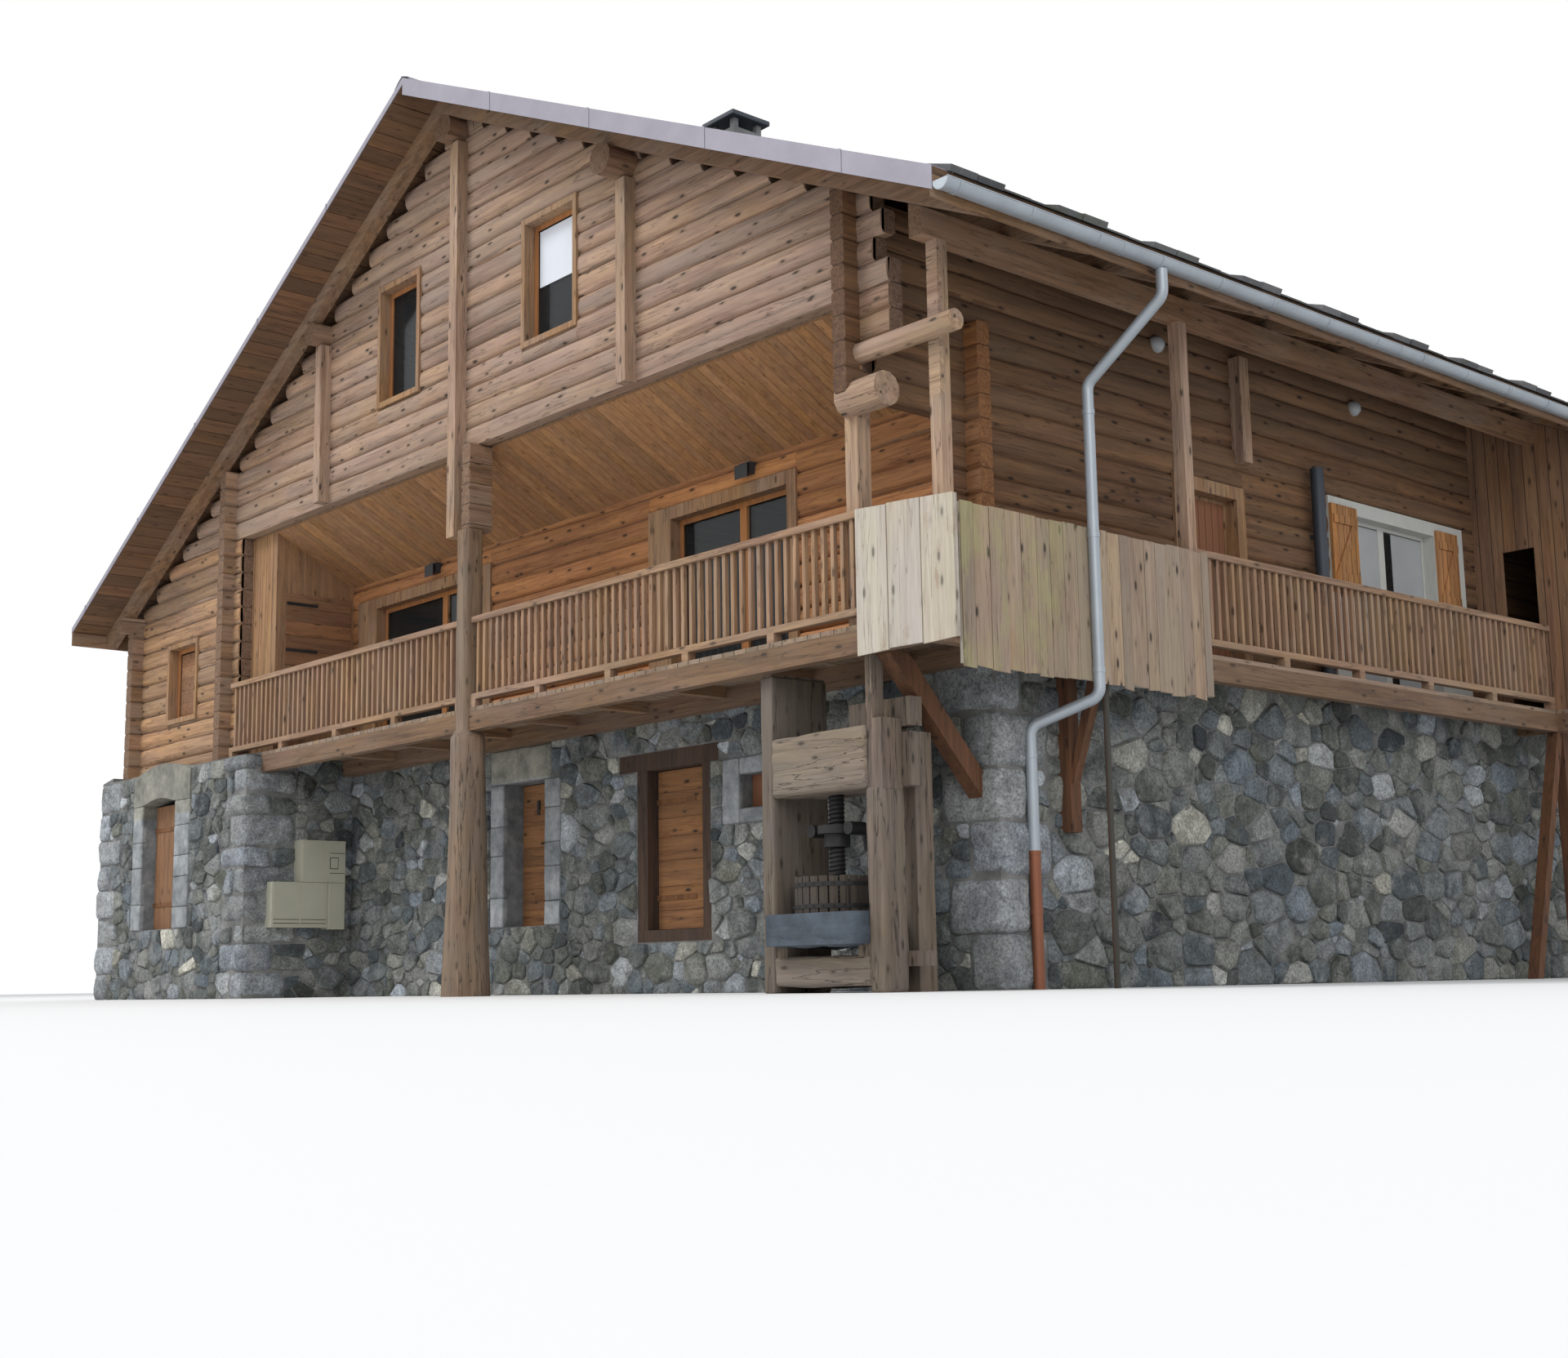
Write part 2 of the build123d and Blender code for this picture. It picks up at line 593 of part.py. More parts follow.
def west_logs():
    """The west wall; its top log runs out to the verge rafter."""
    top = rafter_under(LOG_WEST + LOG_WALL)
    wall = log_wall("y", LOG_WEST, STONE_TOP, top, -LOG_END, HOUSE_BACK + LOG_END)
    wall += log_row("y", LOG_WEST, top - COURSE, -WEST_PLATE_OUT, -LOG_END)
    wall &= below_rafters(-WEST_PLATE_OUT, HOUSE_BACK + LOG_END)
    for y in (0, HOUSE_BACK - LOG_WALL):
        wall -= notches(LOG_WEST, y, 0)
    for y0, y1, z0, z1 in WEST_WINDOWS:
        wall -= box(LOG_WEST, LOG_WEST + LOG_WALL, y0, y1, z0, z1)
    return [wall]


def cross_logs():
    """The wall between the bay and the balcony, from the stone up to the rafters."""
    near = BAY_INNER - LOG_WALL
    wall = log_wall("y", near, STONE_TOP, rafter_under(BAY_INNER), -LOG_END, RECESS + LOG_WALL)
    wall &= below_rafters(-LOG_END, RECESS + LOG_WALL)
    for y in (0, RECESS):
        wall -= notches(near, y, 0)
    return [wall]


def log_console():
    """Short stacked logs between the main post and the gable's foot."""
    near = MAIN_POST_X - LOG_WALL / 2
    return log_wall("y", near, MAIN_POST_TOP, GABLE_BOTTOM, -EDGE_BEAM, LOG_WALL)


def recessed_logs():
    """The log wall behind the balcony, with both window doors cut in."""
    wall = log_wall("x", RECESS, STONE_TOP, GABLE_BOTTOM, BAY_INNER - LOG_WALL, LOG_EAST + LOG_END)
    for window in (SLIDER_LEFT, SLIDER_RIGHT):
        wall -= opening(window, RECESS, RECESS + LOG_WALL)
    for x in (BAY_INNER - LOG_WALL, LOG_EAST - LOG_WALL):
        wall -= notches(x, RECESS, 1)
    return [wall]


def east_logs():
    """The gallery side's wall; above the front corner it runs on to the gable."""
    near = LOG_EAST - LOG_WALL
    back = HOUSE_BACK + LOG_END
    split = STONE_TOP + round((UPPER_EAST_BOTTOM - STONE_TOP) / COURSE) * COURSE
    lower = log_wall("y", near, STONE_TOP, split, RECESS - LOG_END, back)
    wall = lower.fuse(log_wall("y", near, split, rafter_under(near), -LOG_END, back))
    wall &= below_rafters(-LOG_END, back)
    for y0, y1, z0, z1 in (SIDE_DOOR, WHITE_WINDOW):
        wall -= box(near, LOG_EAST, y0, y1, z0, z1)
    for y in (0, RECESS, HOUSE_BACK - LOG_WALL):
        wall -= notches(near, y, 0)
    return [wall - cap_log()]


def north_logs():
    """The back gable wall."""
    y = HOUSE_BACK - LOG_WALL
    wall = log_wall("x", y, STONE_TOP, RIDGE_TOP, LOG_WEST - LOG_END, LOG_EAST + LOG_END, roof_reach)
    for window in BACK_WINDOWS:
        wall -= opening(window, y, HOUSE_BACK)
    for x in (LOG_WEST, LOG_EAST - LOG_WALL):
        wall -= notches(x, y, 1)
    return [wall - Compound(purlin_logs())]


# Roof

def purlin_logs():
    """Round purlins along the ridge and on each slope, flat where the rafters lie."""
    logs = []
    for x, thick, flat, out in PURLINS:
        ring = round_outline(x, rafter_under(x) - thick / 2 + flat, thick)
        logs.append(along_y(ring, -out, HOUSE_BACK + out) & below_rafters(-out, HOUSE_BACK + out))
    return logs


def eave_beam_foot():
    """Height of the underside of the beam on the gallery posts."""
    return rafter_under(GALLERY_OUTER) - EAVE_BEAM_DEPTH


def purlins():
    """The purlins, and the beam on the gallery posts under the rafters' ends."""
    x0, x1, foot = GALLERY_OUTER - EAVE_BEAM, GALLERY_OUTER, eave_beam_foot()
    beam = along_y([(x0, foot), (x1, foot), (x1, rafter_under(x1)), (x0, rafter_under(x0))],
                   EAVE_BEAM_FRONT, HOUSE_BACK + LOG_END)
    return purlin_logs() + [beam]


def rafters():
    """Pairs of rafters; the outermost pair stands in front of each gable."""
    first, last = -VERGE_RAFTER_OUT, HOUSE_BACK + VERGE_RAFTER_OUT
    step = (last - first) / (RAFTER_COUNT - 1)
    x0, x1 = EAVE_LEFT + FASCIA, EAVE_RIGHT - FASCIA
    outline = [(x0, rafter_under(x0)), (0, rafter_under(0)), (x1, rafter_under(x1)),
               (x1, roof_under(x1)), (0, roof_under(0)), (x0, roof_under(x0))]
    half = RAFTER_WIDTH / 2
    return [along_y(outline, first + i * step - half, first + i * step + half) for i in range(RAFTER_COUNT)]


def roof_plate(edge):
    """One slope of the roof, from the ridge to its eave."""
    outline = [(0, roof_under(0)), (edge, roof_under(edge)), (edge, roof_top(edge)), (0, roof_top(0))]
    return along_y(outline, -VERGE, HOUSE_BACK + VERGE)


def roof_left():
    return [roof_plate(EAVE_LEFT)]


def roof_right():
    """The right slope, with the chimney's hole."""
    half = CHIMNEY / 2
    hole = box(CHIMNEY_X - half, CHIMNEY_X + half, CHIMNEY_Y - half, CHIMNEY_Y + half, 0, RIDGE_TOP)
    return [roof_plate(EAVE_RIGHT) - hole]


def verge_flashing():
    """Bent sheet over both verges: an apron in front of the roof's edge and a strip on its top."""
    left, right = EAVE_LEFT, EAVE_RIGHT
    over = [(right, roof_top(right) + FLASHING), (0, roof_top(0) + FLASHING), (left, roof_top(left) + FLASHING)]
    apron = [(left, roof_top(left) - FLASHING_DROP_LEFT), (0, roof_top(0) - FLASHING_DROP_LEFT),
             (0, roof_top(0) - FLASHING_DROP_RIGHT), (right, roof_top(right) - FLASHING_DROP_RIGHT)] + over
    strip = [(left, roof_top(left)), (0, roof_top(0)), (right, roof_top(right))] + over
    front, back = -VERGE, HOUSE_BACK + VERGE
    return [along_y(apron, front - FLASHING, front) + along_y(strip, front, front + FLASHING_WIDTH),
            along_y(apron, back, back + FLASHING) + along_y(strip, back - FLASHING_WIDTH, back)]


def eave_boards():
    """Fascia boards under both eaves, in front of the rafters' ends."""
    boards = []
    for edge, inner in ((EAVE_LEFT, EAVE_LEFT + FASCIA), (EAVE_RIGHT, EAVE_RIGHT - FASCIA)):
        low = roof_under(edge) - FASCIA_DEPTH
        boards.append(along_y([(edge, low), (inner, low), (inner, roof_under(inner)), (edge, roof_under(edge))],
                              -VERGE, HOUSE_BACK + VERGE))
    return boards


def gutter_level():
    """Height of the gutter's rim."""
    return roof_under(EAVE_RIGHT) - GUTTER_DROP


def gutter():
    """Half-round gutter along the right eave, closed at its ends."""
    r, s = GUTTER_RADIUS, GUTTER_SKIN
    x, z, middle = EAVE_RIGHT + r, gutter_level(), HOUSE_BACK / 2
    length = HOUSE_BACK + 2 * VERGE
    trough = Pos(x, middle, z) * (Rot(90, 0, 0) * Cylinder(r, length))
    trough -= Pos(x, middle, z) * (Rot(90, 0, 0) * Cylinder(r - s, length - 2 * s))
    return [trough - box(x - r, x + r, -VERGE, HOUSE_BACK + VERGE, z, z + r)]


def downpipe():
    """Zinc pipe that swings in from the gutter, passes the gallery and runs down the wall."""
    out, gallery, wall = EAVE_RIGHT + GUTTER_RADIUS, GALLERY_OUTER + BOARDING + PIPE_GAP, STONE_EAST + PIPE_GAP
    top = gutter_level() - GUTTER_RADIUS
    y0, y1, y2 = PIPE_STEPS
    drop, high, low, foot = PIPE_HEIGHTS
    route = [(out, y0, top), (out, y0, top - drop), (gallery, y1, high), (gallery, y1, low),
             (wall, y2, foot), (wall, y2, 0)]
    section = Plane(origin=route[0], z_dir=(0, 0, -1)) * Circle(PIPE_RADIUS)
    return [sweep(section, path=FilletPolyline(*route, radius=PIPE_BEND))]


def chimney():
    """Square shaft with an open flue, four corner bricks and a flat cap."""
    h, w, x, y = CHIMNEY / 2, CHIMNEY_WALL, CHIMNEY_X, CHIMNEY_Y
    foot = roof_under(x + h) - CHIMNEY_FOOT
    shaft = box(x - h, x + h, y - h, y + h, foot, CHIMNEY_TOP)
    shaft -= box(x - h + w, x + h - w, y - h + w, y + h - w, foot, CHIMNEY_TOP)
    cap_foot = CHIMNEY_TOP + CAP_GAP
    for sx in (-1, 1):
        for sy in (-1, 1):
            cx, cy = x + sx * (h - w / 2), y + sy * (h - w / 2)
            shaft += box(cx - w / 2, cx + w / 2, cy - w / 2, cy + w / 2, CHIMNEY_TOP, cap_foot)
    o = h + CAP_OVER
    return [shaft + box(x - o, x + o, y - o, y + o, cap_foot, cap_foot + CAP_PLATE)]


# Balcony and gallery

def deck():
    """Boards of the front balcony and the side gallery, in one L."""
    z0, z1 = STONE_TOP, DECK_TOP
    boards = box(BAY_INNER + LOG_END, GALLERY_OUTER, -EDGE_BEAM, RECESS, z0, z1)
    boards += box(LOG_EAST, GALLERY_OUTER, RECESS, GALLERY_END, z0, z1)
    boards += box(LOG_EAST, CABIN_OUTER, GALLERY_END, HOUSE_BACK, z0, z1)
    boards -= box(LOG_EAST, LOG_EAST + LOG_END, RECESS, RECESS + LOG_WALL, z0, z1)
    boards -= box(LOG_EAST - LOG_WALL, LOG_EAST, RECESS - LOG_END, RECESS, z0, z1)
    boards -= box(LOG_EAST, LOG_EAST + LOG_END, HOUSE_BACK - LOG_WALL, HOUSE_BACK, z0, z1)
    return [boards - main_post_square(z0, z1)]


def edge_beams():
    """Beams under the deck's edges, in front of and beside the main post, and the ledger on the wall."""
    outer, z0, z1 = GALLERY_OUTER, BEAM_FOOT, STONE_TOP
    half = MAIN_POST_SQUARE / 2
    left = box(BAY_RETURN, MAIN_POST_X - half, -EDGE_BEAM, 0, z0, z1)
    right = box(MAIN_POST_X + half, outer, -EDGE_BEAM, 0, z0, z1)
    right += box(outer - EDGE_BEAM, outer, 0, HOUSE_BACK, z0, z1)
    right += box(STONE_EAST, CABIN_OUTER, HOUSE_BACK - EDGE_BEAM, HOUSE_BACK, z0, z1)
    right += box(STONE_EAST, CABIN_OUTER, GALLERY_END, GALLERY_END + EDGE_BEAM, z0, z1)
    ledger = box(BAY_RETURN, STONE_EAST, CELLAR_FRONT - LEDGER, CELLAR_FRONT, z0, z1)
    return [left, right, ledger]


def joists():
    """Joists from the stone walls out to the edge beams."""
    pieces, half = [], JOIST / 2
    for i in range(1, int((LOG_EAST - BAY_RETURN) / JOIST_PITCH) + 1):
        x = BAY_RETURN + i * JOIST_PITCH
        pieces.append(box(x - half, x + half, 0, CELLAR_FRONT - LEDGER, STONE_TOP - JOIST, STONE_TOP))
    for i in range(1, int((GALLERY_END - CELLAR_FRONT) / JOIST_PITCH) + 1):
        y = CELLAR_FRONT + i * JOIST_PITCH
        pieces.append(box(STONE_EAST, GALLERY_OUTER - EDGE_BEAM, y - half, y + half, STONE_TOP - JOIST, STONE_TOP))
    return pieces


def rail_part(axis, start, end, across, half, z0, z1):
    """A straight part of a railing, along X or along Y."""
    if axis == "x":
        return box(start, end, across - half, across + half, z0, z1)
    return box(across - half, across + half, start, end, z0, z1)


def railing(axis, start, end, across):
    """Top and bottom rail, square balusters, and blocks that hold the bottom rail off the deck."""
    run, foot, top = end - start, DECK_TOP + BOTTOM_RAIL_GAP, DECK_TOP + RAIL_HEIGHT
    wide = RAIL_WIDTH / 2
    pieces = [rail_part(axis, start, end, across, wide, top - RAIL_SECTION, top),
              rail_part(axis, start, end, across, wide, foot, foot + RAIL_SECTION)]
    count = int(run / BALUSTER_PITCH)
    gap = (run - count * BALUSTER) / (count + 1)
    for i in range(count):
        a = start + gap + i * (BALUSTER + gap)
        pieces.append(rail_part(axis, a, a + BALUSTER, across, BALUSTER / 2, foot + RAIL_SECTION, top - RAIL_SECTION))
    blocks = max(2, round(run / JOIST_PITCH) + 1)
    for i in range(blocks):
        a = start + i * (run - RAIL_BLOCK) / (blocks - 1)
        pieces.append(rail_part(axis, a, a + RAIL_BLOCK, across, wide, DECK_TOP, foot))
    return fuse(pieces)


def railings():
    """Two lengths on the balcony, beside the main post, and one on the gallery."""
    half = MAIN_POST_SQUARE / 2
    return [railing("x", BAY_INNER + LOG_END, MAIN_POST_X - half, RAIL_LINE),
            railing("x", MAIN_POST_X + half, END_PANEL[0][0] + RAIL_BLOCK, RAIL_LINE),
            railing("y", GALLERY_POST_Y[1] + GALLERY_POST / 2, GALLERY_END, GALLERY_OUTER - RAIL_WIDTH / 2)]


def gallery_boarding():
    """Boarded front end of the gallery and the boarded parapet behind it."""
    y0, y1, z0, z1 = PARAPET
    return [along_y(list(END_PANEL), -EDGE_BEAM - BOARDING, -EDGE_BEAM),
            box(GALLERY_OUTER, GALLERY_OUTER + BOARDING, y0, y1, z0, z1)]


def main_post_square(z0, z1):
    """The squared part of the main post between two heights."""
    x, y, h = MAIN_POST_X, RAIL_LINE, MAIN_POST_SQUARE / 2
    return box(x - h, x + h, y - h, y + h, z0, z1)


def main_post():
    """The big post: a round flared trunk that turns square above the edge beam."""
    x, y, flare = MAIN_POST_X, RAIL_LINE, MAIN_POST_FLARE_TOP
    length = MAIN_POST_STEP - flare
    foot = Pos(x, y, flare / 2) * Cone(MAIN_POST_FOOT, MAIN_POST_MIDDLE, flare)
    trunk = Pos(x, y, flare + length / 2) * Cone(MAIN_POST_MIDDLE, MAIN_POST_NECK, length)
    return [foot + trunk + main_post_square(MAIN_POST_STEP, MAIN_POST_TOP)]


def cross_log(measures):
    """A round log along X from its thickness, y, z and ends."""
    thick, y, z, x0, x1 = measures
    return along_x(round_outline(y, z, thick), x0, x1)


def cap_log():
    """Round log on the corner post, under the side wall's first upper course."""
    return cross_log(CAP_LOG)


def corner_post():
    """Post at the balcony's corner, from the deck to the cap log."""
    x0, x1 = CORNER_POST_X - CORNER_POST / 2, CORNER_POST_X + CORNER_POST / 2
    y0 = RAIL_LINE + RAIL_WIDTH / 2
    return box(x0, x1, y0, y0 + CORNER_POST, DECK_TOP, CAP_LOG[2]) - cap_log()


def posts():
    """Corner post with its cap log, gallery posts with the tie log, and the clamps on the logs."""
    x1, half = GALLERY_OUTER, GALLERY_POST / 2
    near, far = [box(x1 - GALLERY_POST, x1, y - half, y + half, DECK_TOP, eave_beam_foot()) for y in GALLERY_POST_Y]
    y0, y1, foot, space = SIDE_CLAMP
    out = LOG_EAST + CLAMP_DEPTH
    side = box(LOG_EAST, out, y0, y1, foot, rafter_under(out) - space)
    return [corner_post(), cap_log(), near + cross_log(TIE_LOG), far, side] + purlin_clamps()


def purlin_clamps():
    """Upright timbers bolted to the gable logs under each purlin."""
    pieces, half = [], CLAMP_WIDTH / 2
    for (x, foot), (px, thick, flat, out) in zip(PURLIN_CLAMPS, PURLINS):
        top = rafter_under(px) + flat - thick
        pieces.append(box(x - half, x + half, -CLAMP_DEPTH, 0, foot, top))
    return pieces


def closet():
    """Boarded closet beside the bay, up to the sloping ceiling."""
    t, y0, x1 = BOARDING, LOG_WALL, CLOSET_X
    front = along_x([(y0, DECK_TOP), (y0 + t, DECK_TOP), (y0 + t, ceiling_under(y0 + t)), (y0, ceiling_under(y0))],
                    BAY_INNER, x1)
    side = along_x([(y0 + t, DECK_TOP), (RECESS, DECK_TOP), (RECESS, ceiling_under(RECESS)),
                    (y0 + t, ceiling_under(y0 + t))], x1 - t, x1)
    return [front + side]


def cabin():
    """Boarded room at the gallery's far end, with its doorway."""
    t, x0, x1, y0, y1 = BOARDING, LOG_EAST, CABIN_OUTER, GALLERY_END, HOUSE_BACK
    high = rafter_under(x0)
    front = box(x0, x1, y0, y0 + t, DECK_TOP, high)
    front -= box(CABIN_DOOR[0], CABIN_DOOR[1], y0, y0 + t, CABIN_DOOR[2], CABIN_DOOR[3])
    walls = front + box(x1 - t, x1, y0 + t, y1, DECK_TOP, high) + box(x0, x1, y1 - t, y1, DECK_TOP, high)
    walls -= box(x0, LOG_EAST + LOG_END, y1 - LOG_WALL, y1, 0, high)
    walls -= box(GALLERY_OUTER - EAVE_BEAM, GALLERY_OUTER, y0, y1, eave_beam_foot(), high)
    return [walls & below_rafters(0, HOUSE_BACK)]


# Windows

def window_plan():
    """Each window as: how its wall lies, hole, casing, bars."""
    plan = [("front", 0, BAY_WINDOW, NARROW_CASING, ()),
            ("front", 0, GABLE_WINDOW_LEFT, NARROW_CASING, ()),
            ("front", 0, GABLE_WINDOW_RIGHT, NARROW_CASING, ()),
            ("front", RECESS, SLIDER_LEFT, SLIDER_LEFT_CASING, SLIDER_LEFT_BARS),
            ("front", RECESS, SLIDER_RIGHT, SLIDER_RIGHT_CASING, SLIDER_RIGHT_BARS),
            ("east", LOG_EAST, SIDE_DOOR, SIDE_CASING, ()),
            ("east", LOG_EAST, WHITE_WINDOW, WHITE_CASING, WHITE_BARS)]
    plan += [("west", LOG_WEST, hole, NARROW_CASING, ()) for hole in WEST_WINDOWS]
    return plan + [("back", HOUSE_BACK, hole, NARROW_CASING, ()) for hole in BACK_WINDOWS]


def in_wall(facing, wall, a0, a1, depth0, depth1, z0, z1):
    """A block in a wall: a0 to a1 along it, depths counted inward from its outer face."""
    if facing == "front":
        return box(a0, a1, wall + depth0, wall + depth1, z0, z1)
    if facing == "back":
        return box(a0, a1, wall - depth1, wall - depth0, z0, z1)
    if facing == "east":
        return box(wall - depth1, wall - depth0, a0, a1, z0, z1)
    return box(wall + depth0, wall + depth1, a0, a1, z0, z1)


def window_frame(facing, wall, hole, casing, bars):
    """Casing boards on the logs, the lining of the hole and the sash at its back."""
    a0, a1, z0, z1 = hole
    left, right, low, high = casing
    t = LINING
    sill = t if low else 0
    boards = in_wall(facing, wall, a0 - left, a1 + right, -CASING_OUT, 0, z0 - low, z1 + high)
    frame = boards + in_wall(facing, wall, a0, a1, -CASING_OUT, SASH_DEEP, z0, z1)
    frame -= in_wall(facing, wall, a0 + t, a1 - t, -CASING_OUT, SASH_DEEP, z0 + sill, z1 - t)
    frame += in_wall(facing, wall, a0, a1, SASH_DEEP, SASH_DEEP + SASH_DEPTH, z0, z1)
    for b0, b1 in lights(hole, bars):
        frame -= in_wall(facing, wall, b0, b1, SASH_DEEP, SASH_DEEP + SASH_DEPTH, z0 + SASH, z1 - SASH)
    return frame


def lights(hole, bars):
    """The glazed spans between the edges and the bars of a window."""
    edges = [hole[0]] + list(bars) + [hole[1]]
    return [(a + SASH, b - SASH) for a, b in zip(edges, edges[1:])]


def window_frames():
    return [window_frame(*entry) for entry in window_plan()]


def glazing():
    """One pane in each light, held in its sash; the side door has a leaf of boards instead."""
    panes = []
    near = SASH_DEEP + (SASH_DEPTH - PANE) / 2
    for facing, wall, hole, casing, bars in window_plan():
        if hole is SIDE_DOOR:
            continue
        for a0, a1 in lights(hole, bars):
            panes.append(in_wall(facing, wall, a0, a1, near, near + PANE, hole[2] + SASH, hole[3] - SASH))
    return panes


def shutters():
    """Open shutters of the gallery window, the side door's leaf and the cellar window's board."""
    x0 = LOG_EAST + CASING_OUT
    pieces = [box(x0, x0 + SHUTTER, y0, y1, SHUTTER_FOOT, SHUTTER_TOP) for y0, y1 in SHUTTER_SPANS]
    d, near = SIDE_DOOR, SASH_DEEP + (SASH_DEPTH - SHUTTER) / 2
    pieces.append(in_wall("east", LOG_EAST, d[0] + SASH, d[1] - SASH, near, near + SHUTTER, d[2] + SASH, d[3] - SASH))
    y = CELLAR_FRONT + CELLAR_BOARD_BACK
    return pieces + [opening(CELLAR_WINDOW, y, y + SHUTTER)]


# Fixed equipment

def fittings():
    """Floodlights under the ceiling, meter boxes on the bay's side wall, and the stovepipe."""
    width, depth, height = LAMP
    pieces = [box(x - width / 2, x + width / 2, RECESS - depth, RECESS, z - height / 2, z + height / 2)
              for x, z in LAMPS]
    for y0, y1, z0, z1 in METER_BOXES:
        pieces.append(box(BAY_RETURN, BAY_RETURN + METER_BOX_DEPTH, y0, y1, z0, z1))
    return pieces + [stovepipe()]


def stovepipe():
    """Upright pipe on the gallery wall, from the deck to under the eave, with one bracket."""
    x, y, r = LOG_EAST + STOVEPIPE_GAP, STOVEPIPE_Y, STOVEPIPE_RADIUS
    half, height, level = PIPE_BRACKET
    pipe = rod(x, y, r, DECK_TOP, STOVEPIPE_TOP) - rod(x, y, r - STOVEPIPE_SKIN, DECK_TOP, STOVEPIPE_TOP)
    bracket = box(LOG_EAST, x - r + STOVEPIPE_SKIN, y - half, y + half, level, level + height)
    return pipe + bracket


# Braces and props

def braces():
    """Braces, wall post, pole and props under the gallery."""
    x1, y0, y1 = GALLERY_OUTER, WALL_POST[0], WALL_POST[1]
    wall_post = box(STONE_EAST, STONE_EAST + WALL_POST_OUT, y0, y1, WALL_POST[2], BEAM_FOOT)
    foot, head, thick = WALL_BRACE
    root, middle = STONE_EAST + WALL_POST_OUT, (y0 + y1) / 2
    slant = along_y([(root, foot), (root, head), (x1 - thick, BEAM_FOOT), (x1, BEAM_FOOT)],
                    middle - WALL_BRACE_WIDTH / 2, middle + WALL_BRACE_WIDTH / 2)
    pole = rod(x1 - EDGE_BEAM / 2, POLE_Y + WALL_BRACE_WIDTH + POLE_RADIUS, POLE_RADIUS, 0, BEAM_FOOT)
    prop = box(x1 - EDGE_BEAM, x1, GALLERY_END + EDGE_BEAM, GALLERY_END + 2 * EDGE_BEAM, 0, BEAM_FOOT)
    back = box(x1 - EDGE_BEAM, x1, HOUSE_BACK - EDGE_BEAM, HOUSE_BACK, 0, BEAM_FOOT)
    lean = GALLERY_END - PROP_LEAN
    raking = along_x([(lean, 0), (lean + PROP_FOOT, 0), (GALLERY_END + EDGE_BEAM, BEAM_FOOT), (GALLERY_END, BEAM_FOOT)],
                     x1 - EDGE_BEAM, x1)
    front = along_x(list(FRONT_BRACE), *FRONT_BRACE_X)
    return [front, wall_post + slant, pole, prop, back, raking]


# Fruit press

def press_frame():
    """Uprights, the head beam and the sill housed between them, and the key above the beam."""
    sx0, sx1, sy0, sy1 = PRESS_SLAB
    px0, px1 = PRESS_POST
    nx0, nx1, ny0, ny1, neck = PRESS_NECK_TOP
    f0, f1 = PRESS_FRONT_POST
    r0, r1, rear_top = PRESS_REAR_POST
    h0, h1, head_foot, head_top = PRESS_HEAD
    s0, s1, sill_foot, sill_top = PRESS_SILL
    c = PRESS_CORBEL
    parts = [box(sx0, sx1, sy0, sy1, 0, BEAM_FOOT),
             box(px0, px1, f0, f1, 0, neck), box(nx0, nx1, ny0, ny1, neck, BEAM_FOOT),
             box(px0, px1, r0, r1, 0, rear_top),
             box(sx1, px0, h0, h1, head_foot, head_top),
             box(px0, PRESS_HEAD_TAIL[0], f1, r0, head_foot, PRESS_HEAD_TAIL[1]),
             box(PRESS_KEY[0], PRESS_KEY[1], f1, r0, head_top, PRESS_KEY[2]),
             box(sx1, px0, s0, s1, sill_foot, sill_top),
             box(px0, PRESS_SILL_TAIL, f1, r0, sill_foot + c, sill_top + c / 4),
             box(sx1, sx1 + c, s0, s1, sill_top, TROUGH_FOOT), box(px0 - c, px0, s0, s1, sill_top, TROUGH_FOOT)]
    return [fuse(parts)]


def press_trough():
    """Stone slab with rounded corners and a shallow round dish for the basket."""
    x0, x1 = PRESS_SLAB[1] + TROUGH_GAP, PRESS_POST[0] - TROUGH_GAP
    slab = box(x0, x1, TROUGH_Y[0], TROUGH_Y[1], TROUGH_FOOT, TROUGH_TOP)
    slab = fillet(slab.edges().filter_by(Axis.Z), TROUGH_CORNER)
    x, y = PRESS_AXIS
    return [slab - rod(x, y, BASKET_RADIUS + DISH_EDGE, TROUGH_TOP - DISH, TROUGH_TOP)]


def press_basket():
    """Slatted basket that stands in the dish."""
    x, y = PRESS_AXIS
    foot, r = TROUGH_TOP - DISH, BASKET_RADIUS
    ring = rod(x, y, r, foot, BASKET_TOP) - rod(x, y, r - BASKET_SKIN, foot, BASKET_TOP)
    slot = Box(3 * r, SLAT_GAP, BASKET_TOP - foot - 2 * BASKET_RIM)
    for i in range(SLATS // 2):
        ring -= Pos(x, y, (foot + BASKET_TOP) / 2) * (Rot(0, 0, i * 360 / SLATS) * slot)
    return [ring]


def press_screw():
    """Screw from the head beam into the dish, with its nut and two lever sockets."""
    x, y = PRESS_AXIS
    radius, thick, level = NUT
    screw = rod(x, y, SCREW_RADIUS, TROUGH_TOP - DISH, PRESS_HEAD[2])
    screw += rod(x, y, radius, level - thick / 2, level + thick / 2)
    screw += rod(x, y, COLLAR[0], level - thick / 2 - COLLAR[1], level - thick / 2)
    bore, length, away = SOCKET
    for side in (-1, 1):
        screw += Pos(x + side * away, y, level) * (Rot(90, 0, 0) * Cylinder(bore, length))
        screw += box(min(x, x + side * away), max(x, x + side * away), y - bore / 2, y + bore / 2,
                     level - thick / 2, level + thick / 2)
    return [screw]


